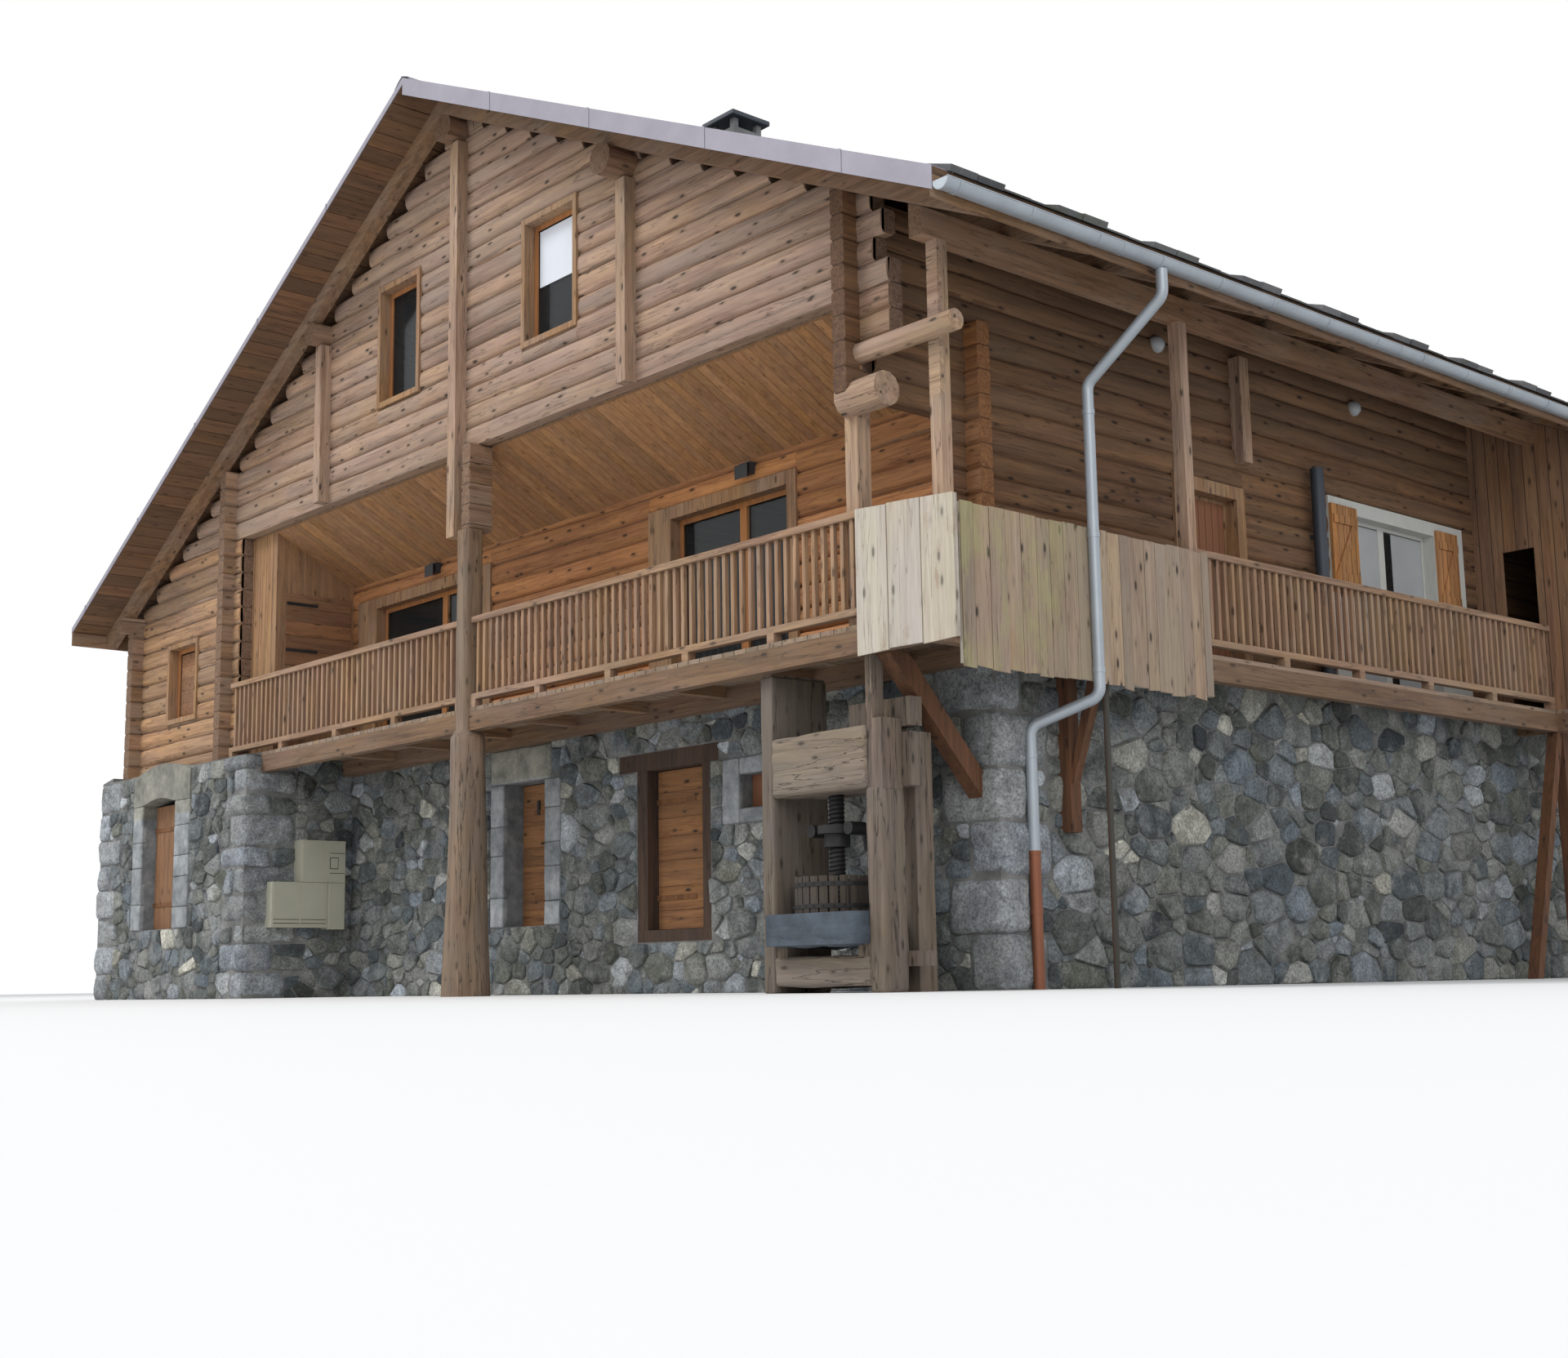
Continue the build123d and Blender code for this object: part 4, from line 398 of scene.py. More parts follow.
LOGS = dict(board=COURSE, across="z", origin=STONE_TOP, ends=True)
M = {
    "mortar": mortar("lime_mortar"),
    "rubble": rubble("rubble_stone", 1.0, (0.0, (0.05, 0.055, 0.055)), (0.3, (0.118, 0.13, 0.126)),
        (0.55, (0.20, 0.212, 0.208)), (0.8, (0.32, 0.325, 0.318)), (1.0, (0.56, 0.56, 0.54))),
    "blocks": rubble("corner_stone", 0.4, (0.0, (0.07, 0.08, 0.09)), (0.5, (0.185, 0.20, 0.218)),
        (1.0, (0.41, 0.425, 0.44))),
    "cut": cut_stone("cut_stone"),
    "shingle": shingle("shingle"),
    "gable_log": wood("gable_log", (0.36, 0.235, 0.155), (0.15, 0.085, 0.055), "x", **LOGS),
    "gable_skin": wood("gable_skin", (0.40, 0.265, 0.178), (0.155, 0.09, 0.06), "x", tone=True, spread=0.5,
        weather=(0.33, 0.265, 0.225), knots=0.9),
    "bay_skin": wood("bay_skin", (0.42, 0.255, 0.135), (0.17, 0.09, 0.045), "x", tone=True, amount=0.2,
        knots=0.9),
    "log_y": wood("side_log", (0.36, 0.22, 0.13), (0.14, 0.078, 0.047), "y", **LOGS),
    "west_skin": wood("west_skin", (0.37, 0.235, 0.145), (0.14, 0.08, 0.05), "y", tone=True, knots=0.9),
    "recess": wood("recess_log", (0.40, 0.19, 0.07), (0.20, 0.078, 0.028), "x", **LOGS, amount=0.15),
    "recess_skin": wood("recess_skin", (0.50, 0.24, 0.095), (0.23, 0.09, 0.035), "x", tone=True,
        amount=0.12, weather=(0.30, 0.16, 0.08), knots=0.9),
    # East wall logs: their own darker, redder weathered colour, darkened further with painted shade of the
    # east side under the eave.
    "east_log": wood("east_log", (0.22, 0.115, 0.055), (0.09, 0.042, 0.021), "y", **LOGS,
        weather=(0.15, 0.10, 0.06)),
    "east_skin_painted_shade": wood("east_skin_painted_shade", (0.215, 0.112, 0.054), (0.08, 0.038, 0.02), "y", tone=True,
        weather=(0.16, 0.105, 0.062), knots=0.9),
    "ceiling": wood("ceiling_board", (0.40, 0.215, 0.09), (0.235, 0.112, 0.045), "y", tone=True, amount=0.1,
        knots=0.4, cracks=0.15, spread=0.42),
    "closet": wood("closet_board", (0.41, 0.235, 0.11), (0.22, 0.115, 0.05), "z", 0.17, "x", amount=0.1),
    "closet_door": wood("closet_door", (0.30, 0.15, 0.07), (0.15, 0.07, 0.032), "y", tone=True, amount=0.1),
    "cabin": wood("cabin_board", (0.25, 0.14, 0.075), (0.12, 0.062, 0.034), "z", 0.15, "x", amount=0.1),
    "floor": wood("floor_board", (0.28, 0.20, 0.135), (0.14, 0.095, 0.065), "y", 0.16, "x"),
    "beam_x": wood("beam_x", (0.21, 0.13, 0.077), (0.09, 0.052, 0.032), "x", turn=along_beams,
        weather=(0.18, 0.14, 0.108)),
    "beam_y": wood("beam_y", (0.30, 0.18, 0.105), (0.135, 0.073, 0.04), "y", ends=True),
    "post": wood("post_wood", (0.46, 0.325, 0.225), (0.205, 0.128, 0.083), "z",
        weather=(0.32, 0.265, 0.225), cracks=0.9, knots=0.9, turn=along_cap_logs),
    "trunk": wood("trunk_wood", (0.255, 0.178, 0.12), (0.105, 0.068, 0.044), "z",
        weather=(0.19, 0.16, 0.132), cracks=1.0, amount=0.55, knots=0.5, depth=0.008),
    # Braces: their own dark brown, darkened further with painted shade from the gallery above them.
    "brace": wood("brace_wood", (0.15, 0.066, 0.03), (0.062, 0.026, 0.012), "z", region=dark_pole,
        weather=(0.09, 0.046, 0.026)),
    "rail": wood("rail_wood", (0.37, 0.24, 0.15), (0.165, 0.095, 0.057), "x", amount=0.3, turn=along_rails),
    "bleached": wood("bleached_board", (0.56, 0.52, 0.445), (0.36, 0.30, 0.23), "z", tone=True, spread=0.2,
        weather=(0.50, 0.48, 0.44), cracks=0.4, region=rusty_stains),
    "parapet": wood("parapet_board", (0.38, 0.28, 0.20), (0.20, 0.138, 0.095), "z", tone=True, spread=0.5,
        weather=(0.33, 0.285, 0.23), amount=0.4, knots=1.0, region=stained_left),
    "roof_wood": wood("roof_timber", (0.27, 0.165, 0.095), (0.12, 0.067, 0.037), "x"),
    "soffit": wood("soffit_board", (0.18, 0.095, 0.046), (0.072, 0.035, 0.017), "y", tone=True, knots=0.5,
        weather=(0.14, 0.085, 0.05), spread=0.6),
    "frame": wood("frame_wood", (0.37, 0.225, 0.12), (0.18, 0.098, 0.05), "z", region=white_casing),
    "sash": wood("sash_wood", (0.42, 0.19, 0.065), (0.28, 0.11, 0.034), "z", knots=0.0, cracks=0.0,
        amount=0.05),
    "shutter": wood("shutter_board", (0.50, 0.25, 0.085), (0.29, 0.125, 0.04), "z", 0.11, "y", amount=0.1,
        region=red_leaf),
    "door_core": wood("door_core", (0.20, 0.09, 0.032), (0.10, 0.04, 0.016), "z", amount=0.1,
        weather=(0.12, 0.07, 0.04)),
    # Cellar door planks: their own stained brown, darkened partway with painted shade from the balcony above
    # them.
    "plank_x_painted_shade": wood("plank_x_painted_shade", (0.29, 0.14, 0.053), (0.13, 0.055, 0.021), "x", tone=True, amount=0.15,
        weather=(0.22, 0.125, 0.07), knots=1.0, spread=0.35),
    "plank_z": wood("plank_z", (0.30, 0.155, 0.075), (0.145, 0.066, 0.032), "z", tone=True, amount=0.15,
        weather=(0.21, 0.14, 0.09)),
    # Frame of the right cellar door: its own dark stain, darkened further with painted shade from the balcony
    # above it.
    "door_frame": wood("door_frame", (0.068, 0.039, 0.026), (0.028, 0.016, 0.011), "z", amount=0.2,
        weather=(0.09, 0.06, 0.04)),
    # Press timbers: their own weathered grey-brown, darkened partway with painted shade from the balcony over
    # the press.
    "press": wood("press_wood", (0.18, 0.14, 0.107), (0.075, 0.055, 0.04), "z", amount=0.5, cracks=1.0,
        weather=(0.155, 0.138, 0.122), depth=0.007),
    "press_post": wood("press_post", (0.185, 0.146, 0.112), (0.078, 0.058, 0.042), "z", amount=0.5,
        cracks=1.0, weather=(0.155, 0.138, 0.122), depth=0.008, tone=True),
    "press_x": wood("press_beam", (0.25, 0.20, 0.152), (0.105, 0.08, 0.06), "x", amount=0.4, cracks=1.0,
        weather=(0.20, 0.182, 0.158), depth=0.008, tone=True),
    "slat": wood("basket_slat", (0.075, 0.06, 0.052), (0.03, 0.024, 0.02), "z", knots=0.0,
        weather=(0.06, 0.055, 0.05)),
    "zinc": plain("zinc", (0.36, 0.395, 0.43), 0.42, 0.45, 0.001, 0.1, clay_foot),
    "flashing": plain("flashing", (0.27, 0.255, 0.30), 0.5, 0.25, 0.001, 0.1),
    "iron": plain("iron", (0.03, 0.028, 0.028), 0.62, 0.5, 0.004, 0.3),
    # Press trough: its own blue-grey stone, darkened partway with painted shade from the balcony over it.
    "trough": plain("trough_stone", (0.072, 0.09, 0.112), 0.9, 0.0, 0.015, 0.4),
    "chimney": plain("chimney_render", (0.19, 0.19, 0.19), 0.95, 0.0, 0.01, 0.25),
    "glass": glass("window_glass"),
    "fitting": plain("painted_steel", (0.04, 0.05, 0.065), 0.5, 0.15, 0.001, 0.1, beige_boxes),
    "black": plain("lamp_black", (0.012, 0.012, 0.013), 0.4, 0.1, 0.001, 0.1),
    "beige": plain("box_paint", (0.40, 0.39, 0.31), 0.55, 0.0, 0.001, 0.06),
    "pale": plain("lamp_white", (0.42, 0.43, 0.44), 0.35, 0.0, 0.001, 0.05),
    "blind": plain("blind_white", (0.70, 0.73, 0.78), 0.9, 0.0, 0.001, 0.03),
}
NODE_LOOK = {
    "mortar": ("front_walls", "side_walls", "back_wall", "walls_at_doors"),
    "cut": ("dressed_jambs", "dressed_lintels"),
    "door_frame": ("cellar_door_frame",),
    "door_core": ("bay_door", "cellar_door_a", "cellar_door_b"),
    "floor": ("floors", "deck"),
    "gable_log": ("gable_logs", "north_logs"),
    "log_y": ("west_logs", "cross_logs"),
    "recess": ("recessed_logs",),
    "east_log": ("east_logs",),
    "ceiling": ("ceiling",),
    "closet": ("closet",),
    "cabin": ("cabin",),
    "beam_y": ("purlins", "eave_boards", "joists"),
    "beam_x": ("edge_beams",),
    "roof_wood": ("rafters",),
    "soffit": ("roof_left", "roof_right"),
    "flashing": ("verge_flashing",),
    "zinc": ("gutter", "downpipe"),
    "chimney": ("chimney",),
    "rail": ("railings",),
    "bleached": ("gallery_boarding",),
    "post": ("main_post", "posts"),
    "brace": ("braces",),
    "frame": ("window_frames",),
    "glass": ("glazing",),
    "shutter": ("shutters",),
    "fitting": ("fittings",),
    "press": ("press_frame",),
    "trough": ("press_trough",),
    "slat": ("press_basket",),
    "iron": ("press_screw",),
}
for look, nodes in NODE_LOOK.items():
    for node in nodes:
        NODES[node].data.materials.clear()
        NODES[node].data.materials.append(M[look])


# Mesh helpers

BOX_FACES = ((0, 2, 3, 1), (4, 5, 7, 6), (0, 1, 5, 4), (2, 6, 7, 3), (0, 4, 6, 2), (1, 3, 7, 5))


class Build:
    """Collects the faces of one visual piece, with a tone for each, and makes its object."""

    def __init__(self, name, look, body="house"):
        self.name, self.look, self.body = name, look, body
        self.verts, self.polys, self.tones = [], [], []

    def add(self, verts, polys, tone=0.5):
        start = len(self.verts)
        self.verts += [tuple(p) for p in verts]
        self.polys += [tuple(i + start for i in f) for f in polys]
        self.tones += [tone] * len(polys)

    def box(self, x0, x1, y0, y1, z0, z1, tone=0.5):
        """A plain board or block between two corners of the working frame."""
        corners = [at(x, y, z) for z in (z0, z1) for y in (y0, y1) for x in (x0, x1)]
        self.add(corners, BOX_FACES, tone)

    def rings(self, loops, tone=0.5, caps=True):
        """A skin over closed loops of equally many points, from the first to the last."""
        n, last = len(loops[0]), len(loops) - 1
        polys = []
        for k in range(last):
            for i in range(n):
                j = (i + 1) % n
                polys.append((k * n + i, k * n + j, (k + 1) * n + j, (k + 1) * n + i))
        if caps:
            polys += [tuple(range(n))[::-1], tuple(last * n + i for i in range(n))]
        self.add([p for loop in loops for p in loop], polys, tone)

    def make(self, smooth=False):
        mesh = bpy.data.meshes.new(self.name)
        mesh.from_pydata(self.verts, [], self.polys)
        mesh.update()
        tone = mesh.attributes.new("tone", "FLOAT", "FACE")
        tone.data.foreach_set("value", self.tones)
        if smooth:
            mesh.polygons.foreach_set("use_smooth", [True] * len(mesh.polygons))
            mesh.set_sharp_from_angle(angle=math.radians(50))
        mesh.materials.append(M[self.look])
        piece = bpy.data.objects.new(self.name, mesh)
        bpy.context.scene.collection.objects.link(piece)
        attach(piece, self.body)
        return piece


def boxes(name, look, spans, body="house"):
    """A piece of plain boards. A span is x0, x1, y0, y1, z0, z1 and a tone, if it has one."""
    b = Build(name, look, body)
    for span in spans:
        b.box(*span)
    b.make()


def turns(sides, part=math.tau, start=0.0):
    """Angles round a circle, or from the start to the end of an arc."""
    count = sides if part == math.tau else sides + 1
    return [start + part * i / sides for i in range(count)]


def circle(x, y, z, r, sides):
    return [at(x + r * math.cos(a), y + r * math.sin(a), z) for a in turns(sides)]


def upright(x0, y0, dx, dy):
    """Maps u along a wall's face, v up and d outward to a point. The face starts at (x0, y0)."""
    def place(u, v, d):
        return at(x0 + dx * u + dy * d, y0 + dy * u - dx * d, v)
    return place


def moved(hole, start):
    """An opening measured from a wall's start."""
    return (hole[0] - start, hole[1] - start, *hole[2:])


def mirrored(holes, end):
    """Openings of a wall that is seen from its other side."""
    return [(end - h[1], end - h[0], *h[2:]) for h in holes]


def wobble(*where):
    return noise.noise(Vector(where))


def limited(value, low, high):
    return max(low, min(high, value))


rnd = random.Random(11)


# Hewn log faces

# Across a log: share of its height, and how far the hewn face stands out of the CAD wall
HEWN = ((0.0, -0.030), (0.06, -0.001), (0.22, 0.013), (0.5, 0.020), (0.80, 0.015), (0.94, 0.001),
        (1.0, -0.028))
HEWN_STEP, LOG_JOINT = 0.24, 0.003


def seam(u, level, free):
    """How far the joint under a log strays from its level course, nothing at a hole or at the wall's ends."""
    return free * (0.030 * wobble(u * 0.42, level * 3.1, 2) + 0.008 * wobble(u * 2.3, level * 3.1, 7))


def hewn(b, place, u0, u1, v0, v1, seed, free):
    """One hewn log's face, bulged, with wavering joints and closed ends. free says which joints may stray."""
    steps = max(2, round((u1 - u0) / HEWN_STEP))
    at_foot = v0 in (GABLE_BOTTOM, STONE_TOP)
    points = []
    for i in range(steps + 1):
        u = u0 + (u1 - u0) * i / steps
        low = v0 + LOG_JOINT + seam(u, v0, free[0])
        high = v1 - LOG_JOINT + seam(u, v1, free[1])
        for share, out in HEWN:
            v = low + (high - low) * share
            out = -0.001 if share == 0 and at_foot else out
            out += 0.013 * wobble(u * 1.7, v * 5, seed) + 0.006 * wobble(u * 6, v * 9, seed)
            points.append(place(u, v, out))
    n = len(HEWN)
    polys = [(k * n + i, (k + 1) * n + i, (k + 1) * n + i + 1, k * n + i + 1)
             for k in range(steps) for i in range(n - 1)]
    polys += [tuple(range(n)), tuple(steps * n + i for i in range(n))[::-1]]
    b.add(points, polys, rnd.random())


def log_skin(name, look, place, bottom, top, reach, holes, ends=()):
    """Hewn faces over a wall of logs. reach is a log's two ends, or gives them for the height of its top.

    Where the right ends are uneven, ends gives them by turns.
    """
    b = Build(name, look)
    rows = round((top - bottom) / COURSE)
    for row in range(rows):
        v0 = bottom + row * COURSE
        v1 = v0 + COURSE if row < rows - 1 else top
        u0, u1 = reach(v1) if callable(reach) else reach
        if ends:
            u1 = min(u1, ends[row % len(ends)])
        beside = [h for h in holes if h[2] < v1 and h[3] > v0]
        cuts = sorted({u0, u1} | {c for h in beside for c in h[:2] if u0 < c < u1})
        for a, c in zip(cuts, cuts[1:]):
            low, high = v0, v1
            for h in beside:
                if h[0] < (a + c) / 2 < h[1]:
                    low, high = (low, min(high, h[2])) if h[2] > v0 else (max(low, h[3]), high)
            if high - low > 0.05 and c - a > 0.06:
                free = (float(low == v0 and row > 0), float(high == v1 and row < rows - 1))
                hewn(b, place, a, c, low, high, row * 3.7 + bottom, free)
    b.make(smooth=True)


def rafter_under(x):
    return RIDGE_TOP - SLOPES[1 if x > 0 else -1] * abs(x) - ROOF_PLATE - RAFTERS


def under_roof(z):
    """Ends of a gable log whose top is at z, where the roof cuts it."""
    drop = RIDGE_TOP - ROOF_PLATE - z
    return -drop / SLOPES[-1] + 0.03, drop / SLOPES[1] - 0.03


def gable_reach(z):
    west, east = under_roof(z)
    return max(west, WEST_END), east


def bay_reach(z):
    return gable_reach(z)[0], BAY_LOGS + LOG_END


def back_reach(z):
    west, east = under_roof(z)
    return EAST_END - min(east, LOG_EAST - LOG_WALL), EAST_END - max(west, LOG_WEST + LOG_WALL)


def cased(hole, left=0.04, right=0.04, low=0.04, high=0.04):
    return (hole[0] - left, hole[1] + right, hole[2] - low, hole[3] + high)


GABLE_ENDS = [LOG_EAST + past for past in (0.35, 0.18, 0.29, 0.16, 0.24)]
SPLIT = STONE_TOP + 9 * COURSE   # above it the right wall reaches forward to the gable
FRONT, BACK = upright(0, 0, 1, 0), upright(EAST_END, HOUSE_BACK, -1, 0)
BALCONY, EAST = upright(0, RECESS, 1, 0), upright(LOG_EAST, 0, 0, 1)
WEST = upright(LOG_WEST, HOUSE_BACK, 0, -1)
SEEN_WEST, SEEN_BACK = mirrored(WEST_WINDOWS, HOUSE_BACK), mirrored(BACK_WINDOWS, EAST_END)
SLIDER_HOLES = [cased(SLIDERS[0], 0.44, 0.14, 0, 0.11), cased(SLIDERS[1], 0.35, 0.11, 0, 0.11)]
EAST_HOLES = [cased(SIDE_DOOR, 0.11, 0.11, 0, 0.11), cased(WHITE_WINDOW, 0.48, 0.60, 0, 0.13)]

log_skin("gable_hewn", "gable_skin", FRONT, GABLE_BOTTOM, RIDGE_TOP - 0.2, gable_reach,
         [cased(h) for h in GABLE_WINDOWS], GABLE_ENDS)
log_skin("bay_hewn", "bay_skin", FRONT, STONE_TOP, GABLE_BOTTOM, bay_reach, [cased(BAY_WINDOW)])
log_skin("recess_hewn", "recess_skin", BALCONY, STONE_TOP, GABLE_BOTTOM - 2 * COURSE,
         (CLOSET_SIDE - 0.03, LOG_EAST - LOG_WALL), SLIDER_HOLES)
log_skin("east_hewn_low", "east_skin_painted_shade", EAST, STONE_TOP, SPLIT, (RECESS + LOG_WALL, GALLERY_END), EAST_HOLES)
log_skin("east_hewn_high", "east_skin_painted_shade", EAST, SPLIT, rafter_under(LOG_EAST), (LOG_WALL, GALLERY_END),
         EAST_HOLES)
log_skin("west_hewn", "west_skin", WEST, STONE_TOP, rafter_under(LOG_WEST) - 0.01,
         (LOG_WALL, HOUSE_BACK - LOG_WALL), [cased(h) for h in SEEN_WEST])
log_skin("back_hewn", "gable_skin", BACK, STONE_TOP, RIDGE_TOP - 0.2, back_reach,
         [cased(h) for h in SEEN_BACK])


# Rubble walls: each stone is a cell of a weighted Voronoi pattern, clipped, rounded and domed

FLAT = 1.4                      # stones are this much wider than high
GRID = 0.5                      # stones are sorted into squares of this size
HOLE_GAP = 0.008
CORNER_WAVER = 0.005
STAND = 0.026                   # how far a middling stone stands out of the mortar


def clip(outline, a, b, c):
    """The part of a convex outline where a*u + b*v <= c."""
    kept = []
    for i, p in enumerate(outline):
        q = outline[i - 1]
        dp, dq = a * p[0] + b * p[1] - c, a * q[0] + b * q[1] - c
        if (dp <= 0) != (dq <= 0):
            t = dq / (dq - dp)
            kept.append((q[0] + (p[0] - q[0]) * t, q[1] + (p[1] - q[1]) * t))
        if dp <= 0:
            kept.append(p)
    return kept


def seeds(width, size, holes):
    """Scattered middles of large and small stones with a weight each, and chips between them."""
    points, v = [], size * 0.3

    def put(u, w, weight):
        if not any(h[0] < u < h[1] and h[2] < w < h[3] for h in holes):
            points.append((u, w * FLAT, weight))

    while v < STONE_TOP:
        u = rnd.uniform(-0.5, 0.5) * size
        while u < width + size / 2:
            large = rnd.choice((0.5, 0.75, 0.75, 1.0, 1.3, 1.7))
            middle = u + rnd.uniform(-0.15, 0.15) * size
            put(middle, v + rnd.uniform(-0.3, 0.3) * size / FLAT, (large * size) ** 2 * 0.25)
            if rnd.random() < 0.4:
                put(u + 0.5 * large * size, v + rnd.choice((-0.45, 0.45)) * size / FLAT, 0.0)
            u += size * (0.35 + 0.65 * large) * rnd.uniform(0.85, 1.15)
        v += size / FLAT * rnd.uniform(0.8, 1.15)
    return points


def cell(p, near, width, gap):
    """Outline of the stone round p, in (u, v)."""
    outline = [(p[0] + i, p[1] + j) for i, j in ((-1, -1), (1, -1), (1, 1), (-1, 1))]
    for q in near:
        a, b = q[0] - p[0], q[1] - p[1]
        length = math.hypot(a, b)
        if length < 1e-6:
            continue
        c = (q[0] ** 2 + q[1] ** 2 - p[0] ** 2 - p[1] ** 2 - q[2] + p[2]) / 2 / length
        outline = clip(outline, a / length, b / length, c - gap)
        if len(outline) < 3:
            return []
    outline = [(u, v / FLAT) for u, v in outline]
    for a, b, c in ((-1, 0, 0), (1, 0, width), (0, -1, 0), (0, 1, STONE_TOP)):
        outline = clip(outline, a, b, c)
    return outline


def outside_hole(outline, p, hole):
    """Cuts an outline back to the side of a hole on which its middle lies."""
    u, v = p[0], p[1] / FLAT
    for k in (0, 1):
        run = [q[k] for q in outline]
        if max(run) < hole[2 * k] or min(run) > hole[2 * k + 1]:
            return outline
    sides = ((hole[0] - u, (1, 0, hole[0] - HOLE_GAP)), (u - hole[1], (-1, 0, -hole[1] - HOLE_GAP)),
             (hole[2] - v, (0, 1, hole[2] - HOLE_GAP)), (v - hole[3], (0, -1, -hole[3] - HOLE_GAP)))
    return clip(outline, *max(sides)[1])


def rounded(outline):
    """An outline with its corners broken and a slight waver."""
    points = []
    for i, p in enumerate(outline):
        q = outline[(i + 1) % len(outline)]
        if math.hypot(q[0] - p[0], q[1] - p[1]) < 0.012:
            continue
        for t in (0.13, 0.87):
            points.append([a + (c - a) * t + rnd.uniform(-CORNER_WAVER, CORNER_WAVER) for a, c in zip(p, q)])
    return points


# Rings of a stone from its foot in the mortar to its middle: share of the outline, share of the height
DOME = ((1.0, -0.6), (0.975, 0.3), (0.89, 0.85), (0.5, 1.0))


def lay(b, place, outline, tone, stand):
    """One stone with a broken, slightly tilted face that stands out of the mortar."""
    ring = rounded(outline)
    if len(ring) < 5:
        return
    mu, mv = (sum(p[k] for p in ring) / len(ring) for k in (0, 1))
    lean_u, lean_v = rnd.uniform(-0.14, 0.14), rnd.uniform(-0.14, 0.14)
    loops = []
    for share, rise in DOME:
        loop = []
        for u, v in ring:
            pu, pv = mu + (u - mu) * share, mv + (v - mv) * share
            out = stand * rise
            if rise > 0:
                out += 0.020 * rise * wobble(pu * 6 + mu * 9, pv * 6, mv * 7)
                out += rise * limited((pu - mu) * lean_u + (pv - mv) * lean_v, -0.02, 0.02)
            loop.append(place(pu, pv, out))
        loops.append(loop)
    b.rings(loops, tone, caps=False)
    b.add(loops[-1], [tuple(range(len(ring)))], tone)


def stone_tone():
    """Mostly mid greys, now and then nearly white."""
    if rnd.random() < 0.08:
        return rnd.uniform(0.82, 1.0)
    return limited(rnd.gauss(0.43, 0.2), 0, 0.85)


def rubble_wall(name, place, width, size, holes):
    """Rubble over a wall's face, with a hole left out for each opening, cut stone and corner block."""
    b = Build(name, "rubble")
    points = seeds(width, size, holes)
    squares = [(int(p[0] // GRID), int(p[1] // GRID)) for p in points]
    grid = {}
    for p, square in zip(points, squares):
        grid.setdefault(square, []).append(p)
    for p, (i, j) in zip(points, squares):
        near = [q for a in range(i - 2, i + 3) for c in range(j - 2, j + 3)
                for q in grid.get((a, c), ()) if q is not p]
        outline = cell(p, near, width, rnd.uniform(0.003, 0.011))
        for hole in holes:
            if len(outline) > 2:
                outline = outside_hole(outline, p, hole)
        if len(outline) < 3:
            continue
        least = min(max(q[k] for q in outline) - min(q[k] for q in outline) for k in (0, 1))
        if least > 0.035:
            tone = stone_tone()
            lay(b, place, outline, tone, STAND * rnd.uniform(0.5, 1.35) * limited(least / 0.2, 0.35, 1.25))
    b.make(smooth=True)


# Rounded blocks, for corner stones and cut stone

def block(b, low, high, tone, radius=0.03, rough=0.010, cuts=4):
    """A block with rounded arrises and a slightly uneven face, between two corners."""
    half = [(h - l) / 2 for l, h in zip(low, high)]
    middle = [(h + l) / 2 for l, h in zip(low, high)]
    r = min(radius, min(half) * 0.9)
    steps = [[-1.0] + [(1 - r / h) * (2 * k / cuts - 1) for k in range(cuts + 1)] + [1.0] for h in half]
    verts, index, polys = [], {}, []

    def vertex(c):
        key = tuple(round(v, 4) for v in c)
        if key not in index:
            full = [v * h for v, h in zip(c, half)]
            core = [limited(v, -(h - r), h - r) for v, h in zip(full, half)]
            way = Vector([f - k for f, k in zip(full, core)])
            way = way.normalized() if way.length > 1e-9 else Vector()
            p = [m + k + w * r for m, k, w in zip(middle, core, way)]
            push = rough * (0.3 + wobble(*[v * 3 for v in p]) + 0.4 * wobble(*[v * 9 for v in p]))
            index[key] = len(verts)
            verts.append(at(*[v + w * push for v, w in zip(p, way)]))
        return index[key]

    for axis in range(3):
        u, v = (axis + 1) % 3, (axis + 2) % 3
        for side in (-1.0, 1.0):
            for i in range(cuts + 2):
                for j in range(cuts + 2):
                    quad = []
                    for di, dj in ((0, 0), (1, 0), (1, 1), (0, 1)):
                        c = [0.0, 0.0, 0.0]
                        c[axis], c[u], c[v] = side, steps[u][i + di], steps[v][j + dj]
                        quad.append(vertex(c))
                    polys.append(tuple(quad) if side > 0 else tuple(quad[::-1]))
    b.add(verts, polys, tone)


LONG, SHORT = (0.5, 0.72), (0.28, 0.4)


def corner_blocks(name, x, y, side_x, side_y, low, high, tones):
    """Corner stones piled up a wall's corner, long and short by turns. Gives their lengths and heights."""
    b = Build(name, "blocks")
    spans, z = [], 0.0
    while z < STONE_TOP - 0.02:
        h = min(rnd.uniform(low, high), STONE_TOP - z)
        if STONE_TOP - z - h < low * 0.6:
            h = STONE_TOP - z
        long_along = len(spans) % 2
        along = rnd.uniform(*(LONG if long_along else SHORT))
        into = rnd.uniform(*(SHORT if long_along else LONG))
        proud = rnd.uniform(0.014, 0.034)
        xs = sorted((x + side_x * proud, x - side_x * along))
        ys = sorted((y + side_y * proud, y - side_y * into))
        tone = rnd.uniform(*tones)
        block(b, (xs[0], ys[0], z + 0.004), (xs[1], ys[1], z + h - 0.004), tone, 0.07, 0.028, 5)
        spans.append((along, into, z, z + h))
        z += h
    b.make(smooth=True)
    return spans


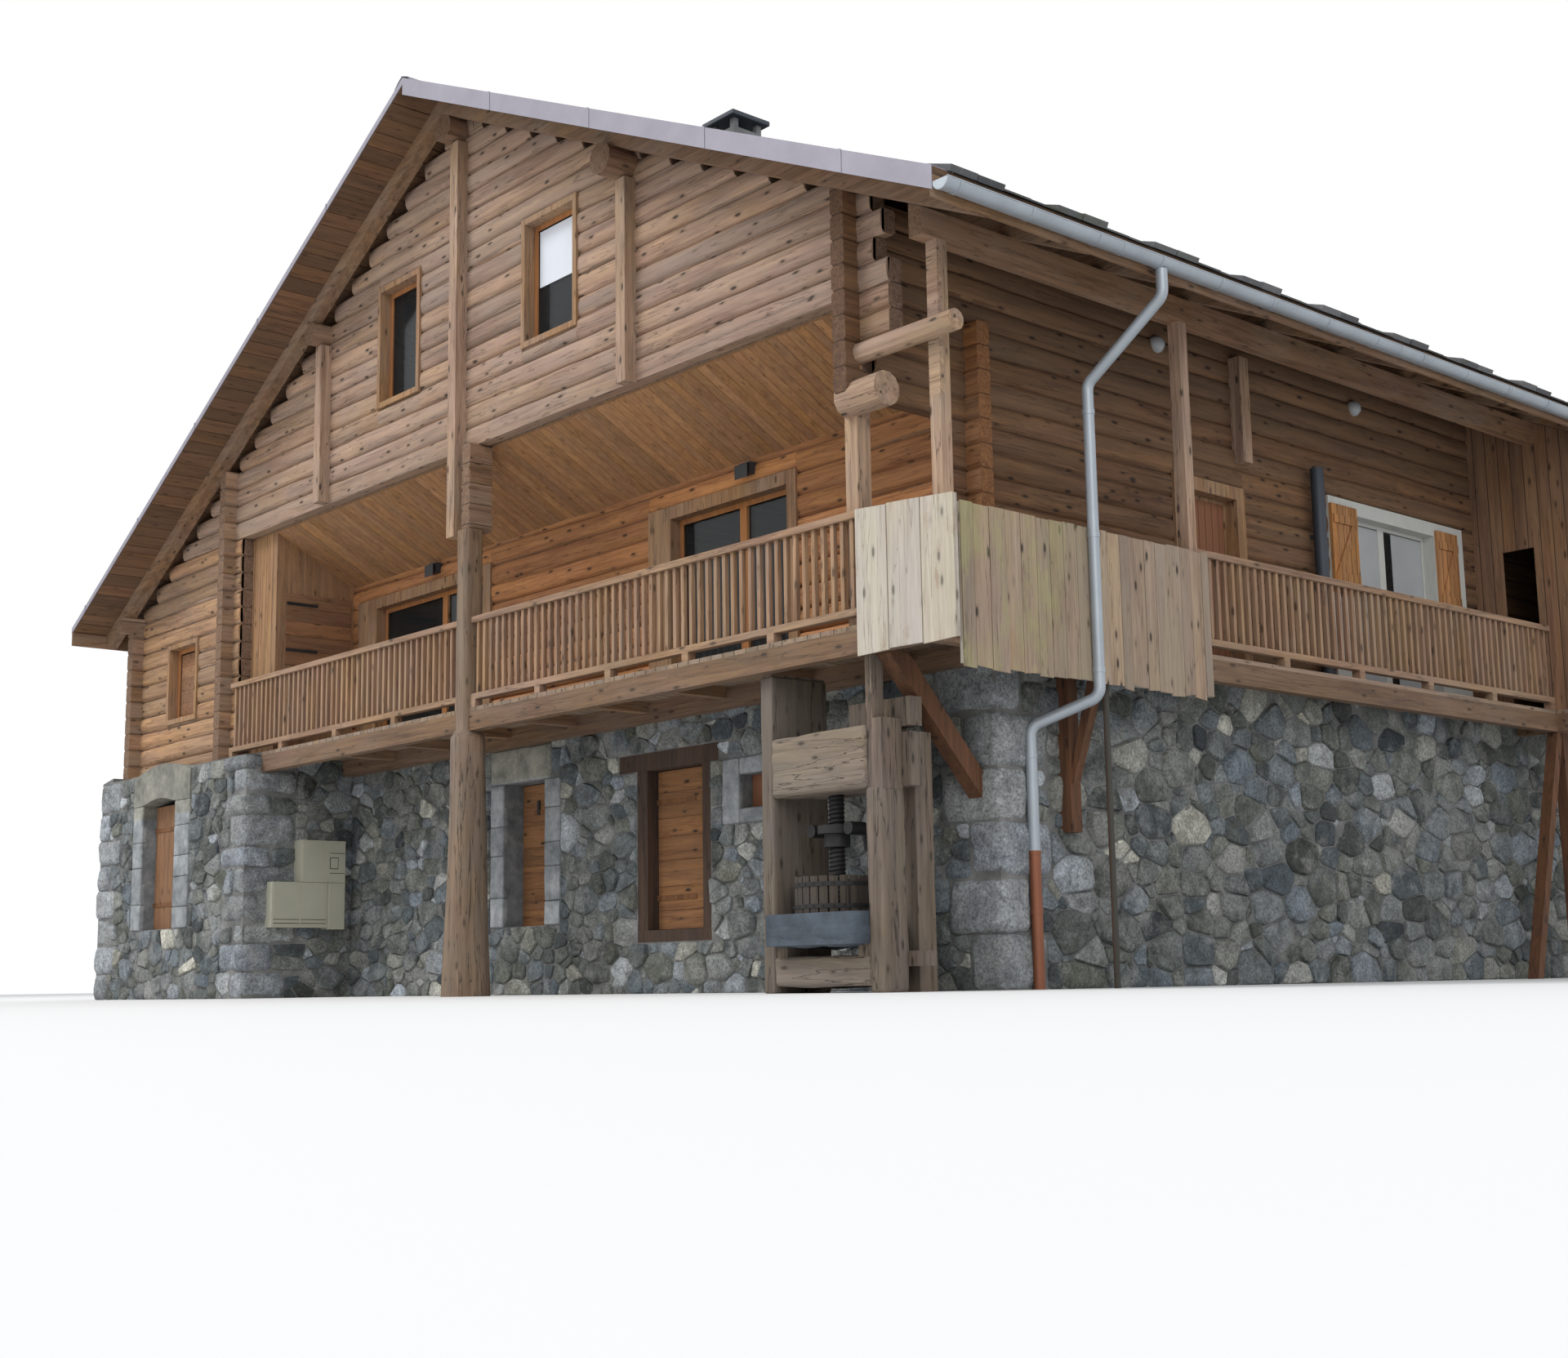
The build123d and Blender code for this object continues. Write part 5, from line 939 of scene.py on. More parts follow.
bay_left = corner_blocks("bay_left_blocks", STONE_WEST, BAY_FRONT, -1, -1, 0.26, 0.44, (0.7, 1.0))
bay_right = corner_blocks("bay_right_blocks", BAY_RETURN, BAY_FRONT, 1, -1, 0.24, 0.42, (0.5, 0.95))
east_front = corner_blocks("east_front_blocks", STONE_EAST, CELLAR_FRONT, 1, -1, 0.3, 0.48, (0.55, 0.9))
east_back = corner_blocks("east_back_blocks", STONE_EAST, STONE_BACK, 1, 1, 0.26, 0.42, (0.4, 0.8))
west_back = corner_blocks("west_back_blocks", STONE_WEST, STONE_BACK, -1, 1, 0.26, 0.42, (0.4, 0.8))


def at_start(spans, which):
    return [(-0.1, s[which], s[2], s[3]) for s in spans]


def at_end(spans, which, width):
    return [(width - s[which], width + 0.1, s[2], s[3]) for s in spans]


# Faces of the stone storey, and their lengths
BAY_WIDTH, CELLAR_WIDTH = BAY_RETURN - STONE_WEST, STONE_EAST - BAY_RETURN
FULL_WIDTH, FULL_DEPTH = STONE_EAST - STONE_WEST, STONE_BACK - BAY_FRONT
EAST_DEPTH = STONE_BACK - CELLAR_FRONT
BAY_FACE, WEST_FACE = upright(STONE_WEST, BAY_FRONT, 1, 0), upright(STONE_WEST, STONE_BACK, 0, -1)
BACK_FACE = upright(STONE_EAST, STONE_BACK, -1, 0)

rubble_wall("bay_stones", BAY_FACE, BAY_WIDTH, 0.25,
            [moved(BAY_SURROUND, STONE_WEST)] + at_start(bay_left, 0) + at_end(bay_right, 0, BAY_WIDTH))
rubble_wall("return_stones", upright(BAY_RETURN, BAY_FRONT, 0, 1), CELLAR_FRONT - BAY_FRONT, 0.26,
            at_start(bay_right, 1))
rubble_wall("cellar_stones", upright(BAY_RETURN, CELLAR_FRONT, 1, 0), CELLAR_WIDTH, 0.26,
            [moved(h, BAY_RETURN) for h in (SURROUND_A, LINTEL_A, FRAME_B, HEAD_B, CELLAR_WINDOW)]
            + at_end(east_front, 0, CELLAR_WIDTH))
rubble_wall("east_stones", upright(STONE_EAST, CELLAR_FRONT, 0, 1), EAST_DEPTH, 0.32,
            at_start(east_front, 1) + at_end(east_back, 1, EAST_DEPTH))
rubble_wall("west_stones", WEST_FACE, FULL_DEPTH, 0.32,
            at_start(west_back, 1) + at_end(bay_left, 1, FULL_DEPTH))
rubble_wall("back_stones", BACK_FACE, FULL_WIDTH, 0.32,
            at_start(east_back, 0) + at_end(west_back, 0, FULL_WIDTH))


def mortar_cap(b, place, length, deep, seed):
    """Sloping mortar on a ledge where the logs stand back from the stone."""
    steps = round(length / 0.3)
    loops = []
    for i in range(steps + 1):
        u = length * i / steps
        rise = 0.06 + 0.03 * wobble(u, *seed)
        lip = 0.012 + 0.01 * wobble(u * 3, 1, 1)
        inner = 0.01 - deep
        profile = ((-0.02, 0.004), (lip, 0.0), (rise * 0.6, -deep * 0.5), (rise, inner), (-0.02, inner))
        loops.append([place(u, STONE_TOP + v, d) for v, d in profile])
    b.rings(loops)


caps = Build("mortar_caps", "mortar")
mortar_cap(caps, BAY_FACE, BAY_WIDTH, -BAY_FRONT, (STONE_WEST, BAY_FRONT))
mortar_cap(caps, WEST_FACE, FULL_DEPTH, STONE_PAST, (STONE_WEST, STONE_BACK))
mortar_cap(caps, BACK_FACE, FULL_WIDTH, STONE_PAST, (STONE_EAST, STONE_BACK))
caps.make(smooth=True)


# Cut stone at the bay door, the left cellar door and the cellar window

def jamb_blocks(b, x0, x1, face, z0, z1, count):
    """A jamb in separate stones with fine joints, a little proud of the wall."""
    z = z0
    for i in range(count):
        h = (z1 - z0) / count * (1.18 if i % 2 else 0.82) if i < count - 1 else z1 - z
        block(b, (x0 + 0.004, face - 0.022, z + 0.004), (x1 - 0.002, face + 0.05, z + h - 0.004),
              rnd.uniform(0.3, 1.0), 0.014, 0.006, 3)
        z += h


def jambs(b, door, outer, face):
    """Both jambs of a doorway, out to the ends of its surround."""
    jamb_blocks(b, outer[0], door[0], face, *door[2:], 4)
    jamb_blocks(b, door[1], outer[1], face, *door[2:], 5)


def arched_lintel(b, x0, x1, z0, z1, face):
    """The bay's lintel: a shallow arch below and a humped top."""
    parts = [i / 14 for i in range(15)]
    arch = [0.07 * math.sin(math.pi * limited((t - 0.17) / 0.57, 0, 1)) for t in parts]
    points = [(x0 + (x1 - x0) * t, z0 + rise) for t, rise in zip(parts, arch)]
    points += [(x1 - (x1 - x0) * t, z1 + 0.13 * math.sin(math.pi * t)) for t in parts]
    b.rings([[at(x, y, z) for x, z in points] for y in (face + 0.25, face - 0.015, face - 0.024)], 0.4)


def cellar_window_stones(b):
    """Two posts, a lintel and a sill, with fine joints between them."""
    x0, x1, z0, z1 = CELLAR_WINDOW
    a, c, low, high = CELLAR_PANE
    posts = ((x0, a - 0.01, z0, z1), (c + 0.01, x1, z0, z1))
    for left, right, foot, head in posts + ((a, c, high, z1), (a, c, z0, low)):
        block(b, (left, CELLAR_FRONT - 0.02, foot), (right, CELLAR_FRONT + 0.05, head), rnd.uniform(0.4, 0.9),
              0.016, 0.006, 3)


CELLAR_PANE = (3.32, 3.85, 1.745, 2.085)
cut = Build("cut_stone_faces", "cut")
jambs(cut, BAY_DOOR, BAY_SURROUND, BAY_FRONT)
arched_lintel(cut, BAY_SURROUND[0], BAY_SURROUND[1], BAY_DOOR[3], 2.90, BAY_FRONT)
jambs(cut, DOOR_A, SURROUND_A, CELLAR_FRONT)
block(cut, (LINTEL_A[0], CELLAR_FRONT - 0.03, LINTEL_A[2] + 0.005),
      (LINTEL_A[1], CELLAR_FRONT + 0.05, LINTEL_A[3] - 0.005), 0.75, 0.03, 0.012)
cellar_window_stones(cut)
cut.make(smooth=True)


# Roof cover

ACROSS = {side: 1 / math.hypot(1, slope) for side, slope in SLOPES.items()}   # run across per metre of slope
CHIMNEY_X, CHIMNEY_Y, CHIMNEY_HALF = 1.08, 3.08, 0.23
METAL = 0.006                   # the verge's sheet stands this far out
VERGES = (-VERGE - METAL, HOUSE_BACK + VERGE + METAL)


def roof_point(side, along, y, lift):
    """A point on a slope: along runs down from the ridge, lift stands off the plate."""
    slope, c = SLOPES[side], ACROSS[side]
    x = along * c
    return at(side * (x + lift * slope * c), y, RIDGE_TOP - slope * x + lift * c)


def at_chimney(side, x, y):
    """Says whether a shingle whose foot is at x would lie in the chimney."""
    beside = abs(x - 0.15 - CHIMNEY_X) < CHIMNEY_HALF + 0.13
    return side > 0 and beside and abs(y - CHIMNEY_Y) < CHIMNEY_HALF + 0.15


def shingles(name, side):
    """Rows of shingles, each lifted by the row below it, with a few raised ones near the eave."""
    b = Build(name, "shingle")
    length = EAVES[side] / ACROSS[side]
    row_step, wide = 0.30, 0.31
    y_start, y_end = -VERGE + 0.16, HOUSE_BACK + VERGE - 0.16
    polys = [(4, 5, 7, 6), (0, 1, 5, 4), (0, 4, 6, 2), (1, 3, 7, 5), (0, 2, 3, 1)]
    if side > 0:
        polys = [f[::-1] for f in polys]
    for row in range(int(length / row_step)):
        low = length + 0.035 - row * row_step
        y = y_start - (wide / 2 if row % 2 else 0)
        while y < y_end:
            y0, y1 = max(y + 0.004, y_start), min(y + wide - 0.004, y_end)
            y += wide
            if y1 - y0 < 0.05 or at_chimney(side, low * ACROSS[side], (y0 + y1) / 2):
                continue
            down = low + rnd.uniform(-0.012, 0.012)
            up = max(low - row_step - 0.05, 0.02)
            step = int((y0 - y_start) / wide + 0.5)
            raised = 0.0 if row > 1 or (step // 2 + row) % 2 else rnd.uniform(0.032, 0.046)
            foot = 0.016 + rnd.uniform(0, 0.006)
            profile = [(down, foot - 0.010), (up, 0.002)]
            profile += [(down, foot + raised + 0.004), (up, 0.012 + raised * 0.3)]
            points = [roof_point(side, a, end, h) for a, h in profile for end in (y0, y1)]
            b.add(points, polys, rnd.random())
    b.make()


def ridge_cap(b):
    """The ridge's sheet, in lengths that lap over each other."""
    y, pitch = VERGES[0], 1.95
    while y < HOUSE_BACK + VERGE:
        y1 = min(y + pitch + 0.06, VERGES[1])
        lift = 0.034 if round((y + VERGE) / pitch) % 2 else 0.030
        top = [(-0.19, 0.014), (-0.10, lift), (0.0, lift + 0.004), (0.10, lift), (0.19, 0.014)]
        profile = top + [(a, h - 0.008) for a, h in top[::-1]]
        b.rings([[roof_point(1 if a > 0 else -1, abs(a), end, h) for a, h in profile] for end in (y, y1)])
        y += pitch


def verge_straps(b):
    """Joint straps on the verge flashing."""
    pitch, wide, thick = 1.9, 0.035, 0.005
    for side, drop in ((-1, 0.075), (1, 0.19)):
        for k in range(1, int(EAVES[side] / ACROSS[side] / pitch) + 1):
            for y, way in zip(VERGES, (-1, 1)):
                face = y + way * thick
                loops = []
                for along in (k * pitch, k * pitch + wide):
                    x = along * ACROSS[side]
                    z = RIDGE_TOP - SLOPES[side] * x
                    profile = ((y, z - drop), (face, z - drop), (face, z + 0.012), (y, z + 0.012))
                    loops.append([at(side * x, p, q) for p, q in profile])
                b.rings(loops if side * way > 0 else loops[::-1])


shingles("shingles_left", -1)
shingles("shingles_right", 1)
metal = Build("ridge_and_verge_metal", "flashing")
ridge_cap(metal)
verge_straps(metal)
metal.make()

GUTTER_X, GUTTER_R = EAVES[1] + 0.08, 0.08
GUTTER_Z = RIDGE_TOP - SLOPES[1] * EAVES[1] - ROOF_PLATE - 0.06


def half_hoop(b, y, wide, thick):
    """A half ring under the gutter."""
    angles = turns(14, math.pi, math.pi)
    outline = [(GUTTER_R + thick, a) for a in angles] + [(GUTTER_R - 0.001, a) for a in angles[::-1]]
    b.rings([[at(GUTTER_X + r * math.cos(a), end, GUTTER_Z + r * math.sin(a)) for r, a in outline]
             for end in (y, y + wide)])


def gutter_straps():
    """Gutter straps, joints, ends and bead, and the collars of the downpipe."""
    b = Build("gutter_straps", "zinc")
    end = HOUSE_BACK + VERGE
    y, wide, reach = -0.6, 0.028, GUTTER_R + 0.005
    while y < end:
        half_hoop(b, y, wide, 0.005)
        b.box(GUTTER_X - reach, GUTTER_X + reach, y, y + wide, GUTTER_Z - 0.003, GUTTER_Z + 0.002)
        y += 0.82
    y = 1.35
    while y < end:
        half_hoop(b, y, 0.05, 0.003)
        y += 2.1
    for y in (-VERGE, end - 0.03):
        half_hoop(b, y, 0.03, 0.004)
    bead = [(GUTTER_X + GUTTER_R + 0.006 * math.cos(a), GUTTER_Z + 0.006 * math.sin(a)) for a in turns(8)]
    b.rings([[at(x, y, z) for x, z in bead[::-1]] for y in (-VERGE, end)])
    for x, y, levels in ((GALLERY_OUTER + 0.09, 1.79, (4.86, 3.78, 2.62)),
                         (STONE_EAST + 0.06, 1.50, (1.93, 1.12, 0.62))):
        for z in levels:
            b.rings([circle(x, y, z, 0.055, 24), circle(x, y, z + 0.045, 0.055, 24)])
    b.make(smooth=True)


gutter_straps()


# Boards that are seen from below, and upright boards

def soffit_boards():
    """Boards under both slopes."""
    b = Build("soffit_boards", "soffit")
    for side, edge in EAVES.items():
        x = 0.06
        while x < edge - 0.05:
            wide = min(rnd.uniform(0.165, 0.21), edge - 0.02 - x)
            thick = rnd.uniform(0.010, 0.016)
            ends = [(side * a, RIDGE_TOP - ROOF_PLATE - SLOPES[side] * a) for a in (x, x + wide - 0.012)]
            profile = [(a, z + 0.004) for a, z in ends] + [(a, z - thick) for a, z in ends[::-1]]
            loops = [[at(a, y, z) for a, z in profile] for y in (-VERGE + 0.012, HOUSE_BACK + VERGE - 0.012)]
            b.rings(loops if side < 0 else loops[::-1], rnd.random())
            x += wide
    b.make()


def ceiling_boards():
    """The sloping ceiling under the jutting gable."""
    b = Build("ceiling_boards", "ceiling")
    x, end, thick = BAY_LOGS, LOG_EAST - LOG_WALL, 0.008
    while x < end - 0.03:
        x1 = min(x + 0.125, end)
        profile = ((x + 0.003, 0), (x + 0.008, -thick), (x1 - 0.005, -thick), (x1, 0))
        lines = ((RECESS - 0.002, 5.20), (LOG_WALL + 0.002, GABLE_BOTTOM - 0.024))
        b.rings([[at(a, y, z + drop) for a, drop in profile] for y, z in lines], rnd.random())
        x = x1
    b.make()


def upright_boards(name, look, place, u0, u1, low, heads, widths, gap):
    """Upright boards over a panel, with uneven feet. heads is its top's height at both ends."""
    b = Build(name, look)
    u, waver, thick = u0, 0.03, 0.014
    while u < u1 - 0.02:
        wide = min(rnd.uniform(*widths), u1 - u)
        wide = u1 - u if u1 - u - wide < widths[0] * 0.5 else wide
        foot = low + rnd.uniform(-waver, waver * 0.4)
        rise = rnd.uniform(-waver, waver) * 0.25
        lean = rnd.uniform(-0.01, 0.01)
        out = thick + rnd.uniform(-0.003, 0.003)
        a, c = u + gap / 2, u + wide - gap / 2
        tops = [heads[0] + (heads[1] - heads[0]) * (p - u0) / (u1 - u0) + rise for p in (a, c)]
        outline = [(a, foot + lean), (c, foot - lean), (c, tops[1]), (a, tops[0])]
        b.rings([[place(p, q, d) for p, q in outline] for d in (-0.002, out)], rnd.random())
        u += wide
    b.make()


soffit_boards()
ceiling_boards()
upright_boards("end_panel_boards", "bleached", upright(0, -0.15, 1, 0), LOG_EAST + 0.05, GALLERY_OUTER + 0.31,
               2.70, (3.91, 3.83), (0.34, 0.42), 0.012)
upright_boards("parapet_boards", "parapet", upright(GALLERY_OUTER + 0.03, 0, 0, 1), 0.20, 3.45,
               2.55, (3.875, 3.875), (0.11, 0.21), 0.005)


# Doors: planks on the leaves' faces ride with them

LEAF_GAP, PLANK, PLANKS = 0.008, 0.007, 7
LEAF_A = CELLAR_FRONT + 0.25


def planks(name, look, body, door, face, lying):
    """Planks over a leaf's face, with dark gaps between them."""
    b = Build(name, look, body)
    x0, x1, z0, z1 = door[0] + LEAF_GAP, door[1] - LEAF_GAP, door[2] + LEAF_GAP, door[3] - LEAF_GAP
    edge = [0.0]
    for i in range(PLANKS):
        edge.append(edge[-1] + rnd.uniform(0.8, 1.2))
    edge = [e / edge[-1] for e in edge]
    for a, c in zip(edge, edge[1:]):
        if lying:
            low, high = z0 + (z1 - z0) * a + 0.002, z0 + (z1 - z0) * c - 0.003
            b.box(x0 + 0.003, x1 - 0.003, face - PLANK, face, low, high, rnd.random())
        else:
            left, right = x0 + (x1 - x0) * a + 0.002, x0 + (x1 - x0) * c - 0.002
            b.box(left, right, face - PLANK, face, z0 + 0.003, z1 - 0.003, rnd.random())
    b.make()


planks("bay_door_planks", "plank_z", "bay_door", BAY_DOOR, BAY_FRONT + 0.18, False)
# The cellar doors' planks carry painted shade in their colour.
planks("door_a_planks", "plank_x_painted_shade", "cellar_door_a", DOOR_A, LEAF_A, True)
planks("door_b_planks", "plank_x_painted_shade", "cellar_door_b", DOOR_B, CELLAR_FRONT + 0.15, True)


# Windows: stained sashes round each pane, a blind, curtains, boards, the closet's door and shutter ledges

SASH, SASH_INSET = 0.052, 0.024


def sash(b, place, u0, u1, v0, v1):
    """Four strips round a pane."""
    a, c = u0 + SASH, u1 - SASH
    strips = ((u0, a, v0, v1), (c, u1, v0, v1), (a, c, v0, v0 + SASH), (a, c, v1 - SASH, v1))
    for left, right, low, high in strips:
        corners = [(left, low), (right, low), (right, high), (left, high)]
        b.rings([[place(p, q, d) for p, q in corners] for d in (-0.11, -0.096)])


def sashes():
    b = Build("sashes", "sash")
    plan = [(FRONT, h, ()) for h in (BAY_WINDOW, *GABLE_WINDOWS)]
    plan += [(BALCONY, SLIDERS[0], (-2.44,)), (BALCONY, SLIDERS[1], (3.17,))]
    plan += [(WEST, h, ()) for h in SEEN_WEST] + [(BACK, h, ()) for h in SEEN_BACK]
    for place, (u0, u1, v0, v1), bars in plan:
        edges = [u0 + SASH_INSET, *bars, u1 - SASH_INSET]
        for a, c in zip(edges, edges[1:]):
            sash(b, place, a, c, v0 + (SASH_INSET if v0 > DECK_TOP else 0), v1 - SASH_INSET)
    b.make()


def closet_door_boards():
    b = Build("closet_door_boards", "closet_door")
    z = 4.12
    for i in range(5):
        high = rnd.uniform(0.17, 0.2)
        b.box(CLOSET_SIDE, CLOSET_BOARDS, 0.29, 1.19, z, min(z + high - 0.004, 5.06), rnd.random())
        z += high
    b.make()


def shutter_braces():
    """Ledges and a slanting brace on each open shutter."""
    b = Build("shutter_braces", "shutter")
    x0, x1, z0, z1 = LOG_EAST + 0.069, LOG_EAST + 0.088, 4.08, 5.04
    for y0, y1 in ((6.82, 7.31), (8.94, 9.38)):
        for z in (z0 + 0.12, z1 - 0.21):
            b.box(x0, x1, y0 + 0.02, y1 - 0.02, z, z + 0.09)
        foot, head = z0 + 0.21, z1 - 0.21
        profile = [(y0 + 0.03, foot), (y0 + 0.13, foot), (y1 - 0.03, head), (y1 - 0.13, head)]
        b.rings([[at(x, y, z) for y, z in profile] for x in (x0, x1)])
    b.make()


BEHIND, SHEET = 0.117, 0.005    # how far behind the wall's face blinds and boards are, and their thickness
CLOSET_BOARDS = CLOSET_SIDE + 0.022
sashes()
boxes("blinds", "blind", [(1.38, 2.11, BEHIND, BEHIND + SHEET, 7.30, 7.91)])
boxes("curtains", "pale",
      [(LOG_EAST - BEHIND - SHEET, LOG_EAST - BEHIND, y, y + 0.62, DECK_TOP + 0.08, 4.93)
       for y in (7.37, 8.27)])
boxes("bay_window_board", "closet_door",
      [(-7.12, -6.46, BEHIND, BEHIND + SHEET + 0.002 * (i % 2), 3.75 + 0.164 * i, 3.911 + 0.164 * i,
        rnd.random()) for i in range(5)])
closet_door_boards()
boxes("closet_door_straps", "iron",
      [(CLOSET_BOARDS, CLOSET_BOARDS + 0.006, 0.29, 0.72, z, z + 0.04) for z in (4.29, 4.88)])
shutter_braces()


# The main post: an old trunk, round and flared below, squared above the edge beam

def main_post():
    b = Build("main_post_trunk", "trunk")
    x, y = 0.35, -0.06
    foot_r, knee_r, head_r, half_side, corner_r = 0.250, 0.210, 0.176, 0.105, 0.132
    levels = [i * 0.1 for i in range(27)] + [2.66, 2.70, 2.74, 2.9] + [3.1 + i * 0.295 for i in range(7)]
    loops = []
    for z in levels:
        flare, taper = limited(z / 0.9, 0, 1), limited((z - 0.9) / 1.8, 0, 1)
        round_r = foot_r + (knee_r - foot_r) * flare + (head_r - knee_r) * taper
        squared = limited((z - 2.66) / 0.08, 0, 1)
        loop = []
        for c, s in ((math.cos(a), math.sin(a)) for a in turns(40)):
            box_r = min(half_side / max(abs(c), abs(s)), corner_r)
            r = round_r * (1 - squared) + box_r * squared
            r += (0.013 - 0.010 * squared) * wobble(c * 1.6, s * 1.6, z * 0.8)
            r -= 0.010 * (1 - squared) * max(0, wobble(c * 7, s * 7, z * 0.5) - 0.25)
            loop.append(at(x + r * c, y + r * s, limited(z, 0, 4.87)))
        loops.append(loop)
    b.rings(loops)
    piece = b.make(smooth=True)
    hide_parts("main_post")


main_post()


# The fruit press

PRESS_X, PRESS_Y = 5.62, 0.255
SLATS, BASKET_R = 26, 0.362


def round_press(r, a, z):
    return at(PRESS_X + r * math.cos(a), PRESS_Y + r * math.sin(a), z)


def press_basket():
    """Upright slats, and two riveted hoops."""
    b = Build("basket_slats", "slat")
    inner = BASKET_R - 0.022
    for i in range(SLATS):
        a0, a1 = math.tau * (i + 0.06) / SLATS, math.tau * (i + 0.88) / SLATS
        top = 0.962 - rnd.uniform(0, 0.012)
        outline = [(BASKET_R, a0), (BASKET_R + 0.002, (a0 + a1) / 2)]
        outline += [(BASKET_R, a1), (inner, a1), (inner, a0)]
        b.rings([[round_press(r, a, z) for r, a in outline] for z in (0.612, top)], rnd.random())
    piece = b.make()
    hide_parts("press_basket")
    b = Build("basket_hoops", "iron")
    r0, r1, high, half = BASKET_R + 0.002, BASKET_R + 0.0075, 0.035, 0.006
    for z in (0.69, 0.87):
        corners = ((r0, 0), (r1, 0), (r1, high), (r0, high))
        loops = [circle(PRESS_X, PRESS_Y, z + h, r, 48) for r, h in corners]
        b.rings(loops + [loops[0]], caps=False)
        for i in range(SLATS):
            a = math.tau * (i + 0.47) / SLATS
            x, y = PRESS_X + 0.369 * math.cos(a), PRESS_Y + 0.369 * math.sin(a)
            b.box(x - half, x + half, y - half, y + half, z + 0.012, z + 0.024)
    b.make()


def press_thread():
    """The thread cut into the screw between the basket and the head beam."""
    b = Build("screw_thread", "iron")
    pitch, low, high, sides = 0.036, 0.66, 1.64, 20
    profile = ((0.060, -0.011), (0.074, 0.0), (0.060, 0.011))
    loops = []
    for i in range(int((high - low) / pitch * sides) + 1):
        loops.append([round_press(r, math.tau * i / sides, low + pitch * i / sides + h) for r, h in profile])
    b.rings(loops[::-1])
    b.make(smooth=True)


def hewn_blocks(name, look, *blocks):
    """One piece of rough blocks round timbers or stone, each with what block() asks for."""
    b = Build(name, look)
    for part in blocks:
        block(b, *part)
    b.make(smooth=True)


BEAM_WEST, BEAM_EAST = 5.112, 6.263
press_basket()
press_thread()
hewn_blocks("press_beam_faces", "press_x",
            ((BEAM_WEST, -0.022, 1.645), (BEAM_EAST, 0.51, 2.145), 0.7, 0.03, 0.02, 8),
            ((BEAM_WEST, -0.015, 0.055), (BEAM_EAST, 0.508, 0.295), 0.4, 0.03, 0.02, 8))
hewn_blocks("press_post_faces", "press_post",
            ((6.255, -0.012, 0.0), (6.452, 0.243, 1.64), 0.6, 0.03, 0.016, 12),
            ((4.968, -0.012, 0.0), (5.122, 0.622, 2.7), 0.35, 0.02, 0.010, 12))
hewn_blocks("trough_rim", "trough", ((5.118, -0.172, 0.385), (6.257, 0.683, 0.608), 0.5, 0.09, 0.03, 10))


# Small fixed things

METER_FACE = BAY_RETURN + 0.18
# Ends along y, foot and head of each door of the meter boxes, and of the dark lines on them
METER_DOORS = ((-0.005, 0.35, 0.86, 1.37), (0.355, 0.70, 0.86, 1.37), (0.73, 0.94, 0.84, 1.37),
               (0.365, 0.65, 1.405, 1.885), (0.655, 0.935, 1.405, 1.885))
METER_LINES = ((0.735, 0.935, 1.50, 1.506), (0.735, 0.935, 1.745, 1.751), (0.0, 0.34, 0.93, 0.937),
               (0.36, 0.695, 0.93, 0.937), (0.0, 0.34, 0.885, 0.892), (0.36, 0.695, 0.885, 0.892),
               (0.735, 0.85, 1.555, 1.695))


def wall_lamps():
    """Round white lamps on the gallery's wall."""
    b = Build("wall_lamps", "pale")
    profile = ((0.0, 0.085), (0.045, 0.085), (0.06, 0.075), (0.085, 0.055), (0.10, 0.02))
    for y in (4.0, 7.45):
        b.rings([[EAST(y + r * math.cos(a), 6.2 + r * math.sin(a), d) for a in turns(20)]
                 for d, r in profile])
    b.make(smooth=True)


def lamp_heads():
    """The floodlights over the balcony."""
    b = Build("lamp_heads", "black")
    corners = ((-1, -1), (1, -1), (1, 1), (-1, 1))
    for x, z in ((-2.45, 5.11), (3.41, 5.10)):
        b.rings([[at(x + i * w, RECESS - 0.09 - d, z - 0.01 + j * h - d * 0.6) for i, j in corners]
                 for d, w, h in ((0.0, 0.07, 0.05), (0.03, 0.095, 0.07), (0.045, 0.095, 0.07))])
    b.make()


boxes("meter_box_doors", "beige", [(METER_FACE, METER_FACE + 0.006, y0 + 0.008, y1 - 0.004, z0, z1)
                                   for y0, y1, z0, z1 in METER_DOORS])
boxes("meter_box_seams", "black", [(METER_FACE + 0.006, METER_FACE + 0.008, *line) for line in METER_LINES])
boxes("meter_window", "beige", [(METER_FACE + 0.008, METER_FACE + 0.011, 0.743, 0.842, 1.563, 1.687)])
wall_lamps()
boxes("door_a_latch", "iron", [(-0.485, -0.44, LEAF_A - 0.024, LEAF_A - PLANK, 1.98, 2.14)], "cellar_door_a")
lamp_heads()
cap = Build("chimney_cap", "fitting")
block(cap, (0.795, 2.795, 10.055), (1.365, 3.365, 10.115), 0.5, 0.012, 0.002, 2)
cap.make()


# Stage, light and camera

def stage():
    mesh = bpy.data.meshes.new("floor")
    mesh.from_pydata([(-300, -300, 0), (300, -300, 0), (300, 300, 0), (-300, 300, 0)], [], [(0, 1, 2, 3)])
    ground = bpy.data.objects.new("floor", mesh)
    bpy.context.scene.collection.objects.link(ground)
    mesh.materials.append(Mat("floor_paint", 0.9).done((0.80, 0.80, 0.79)))


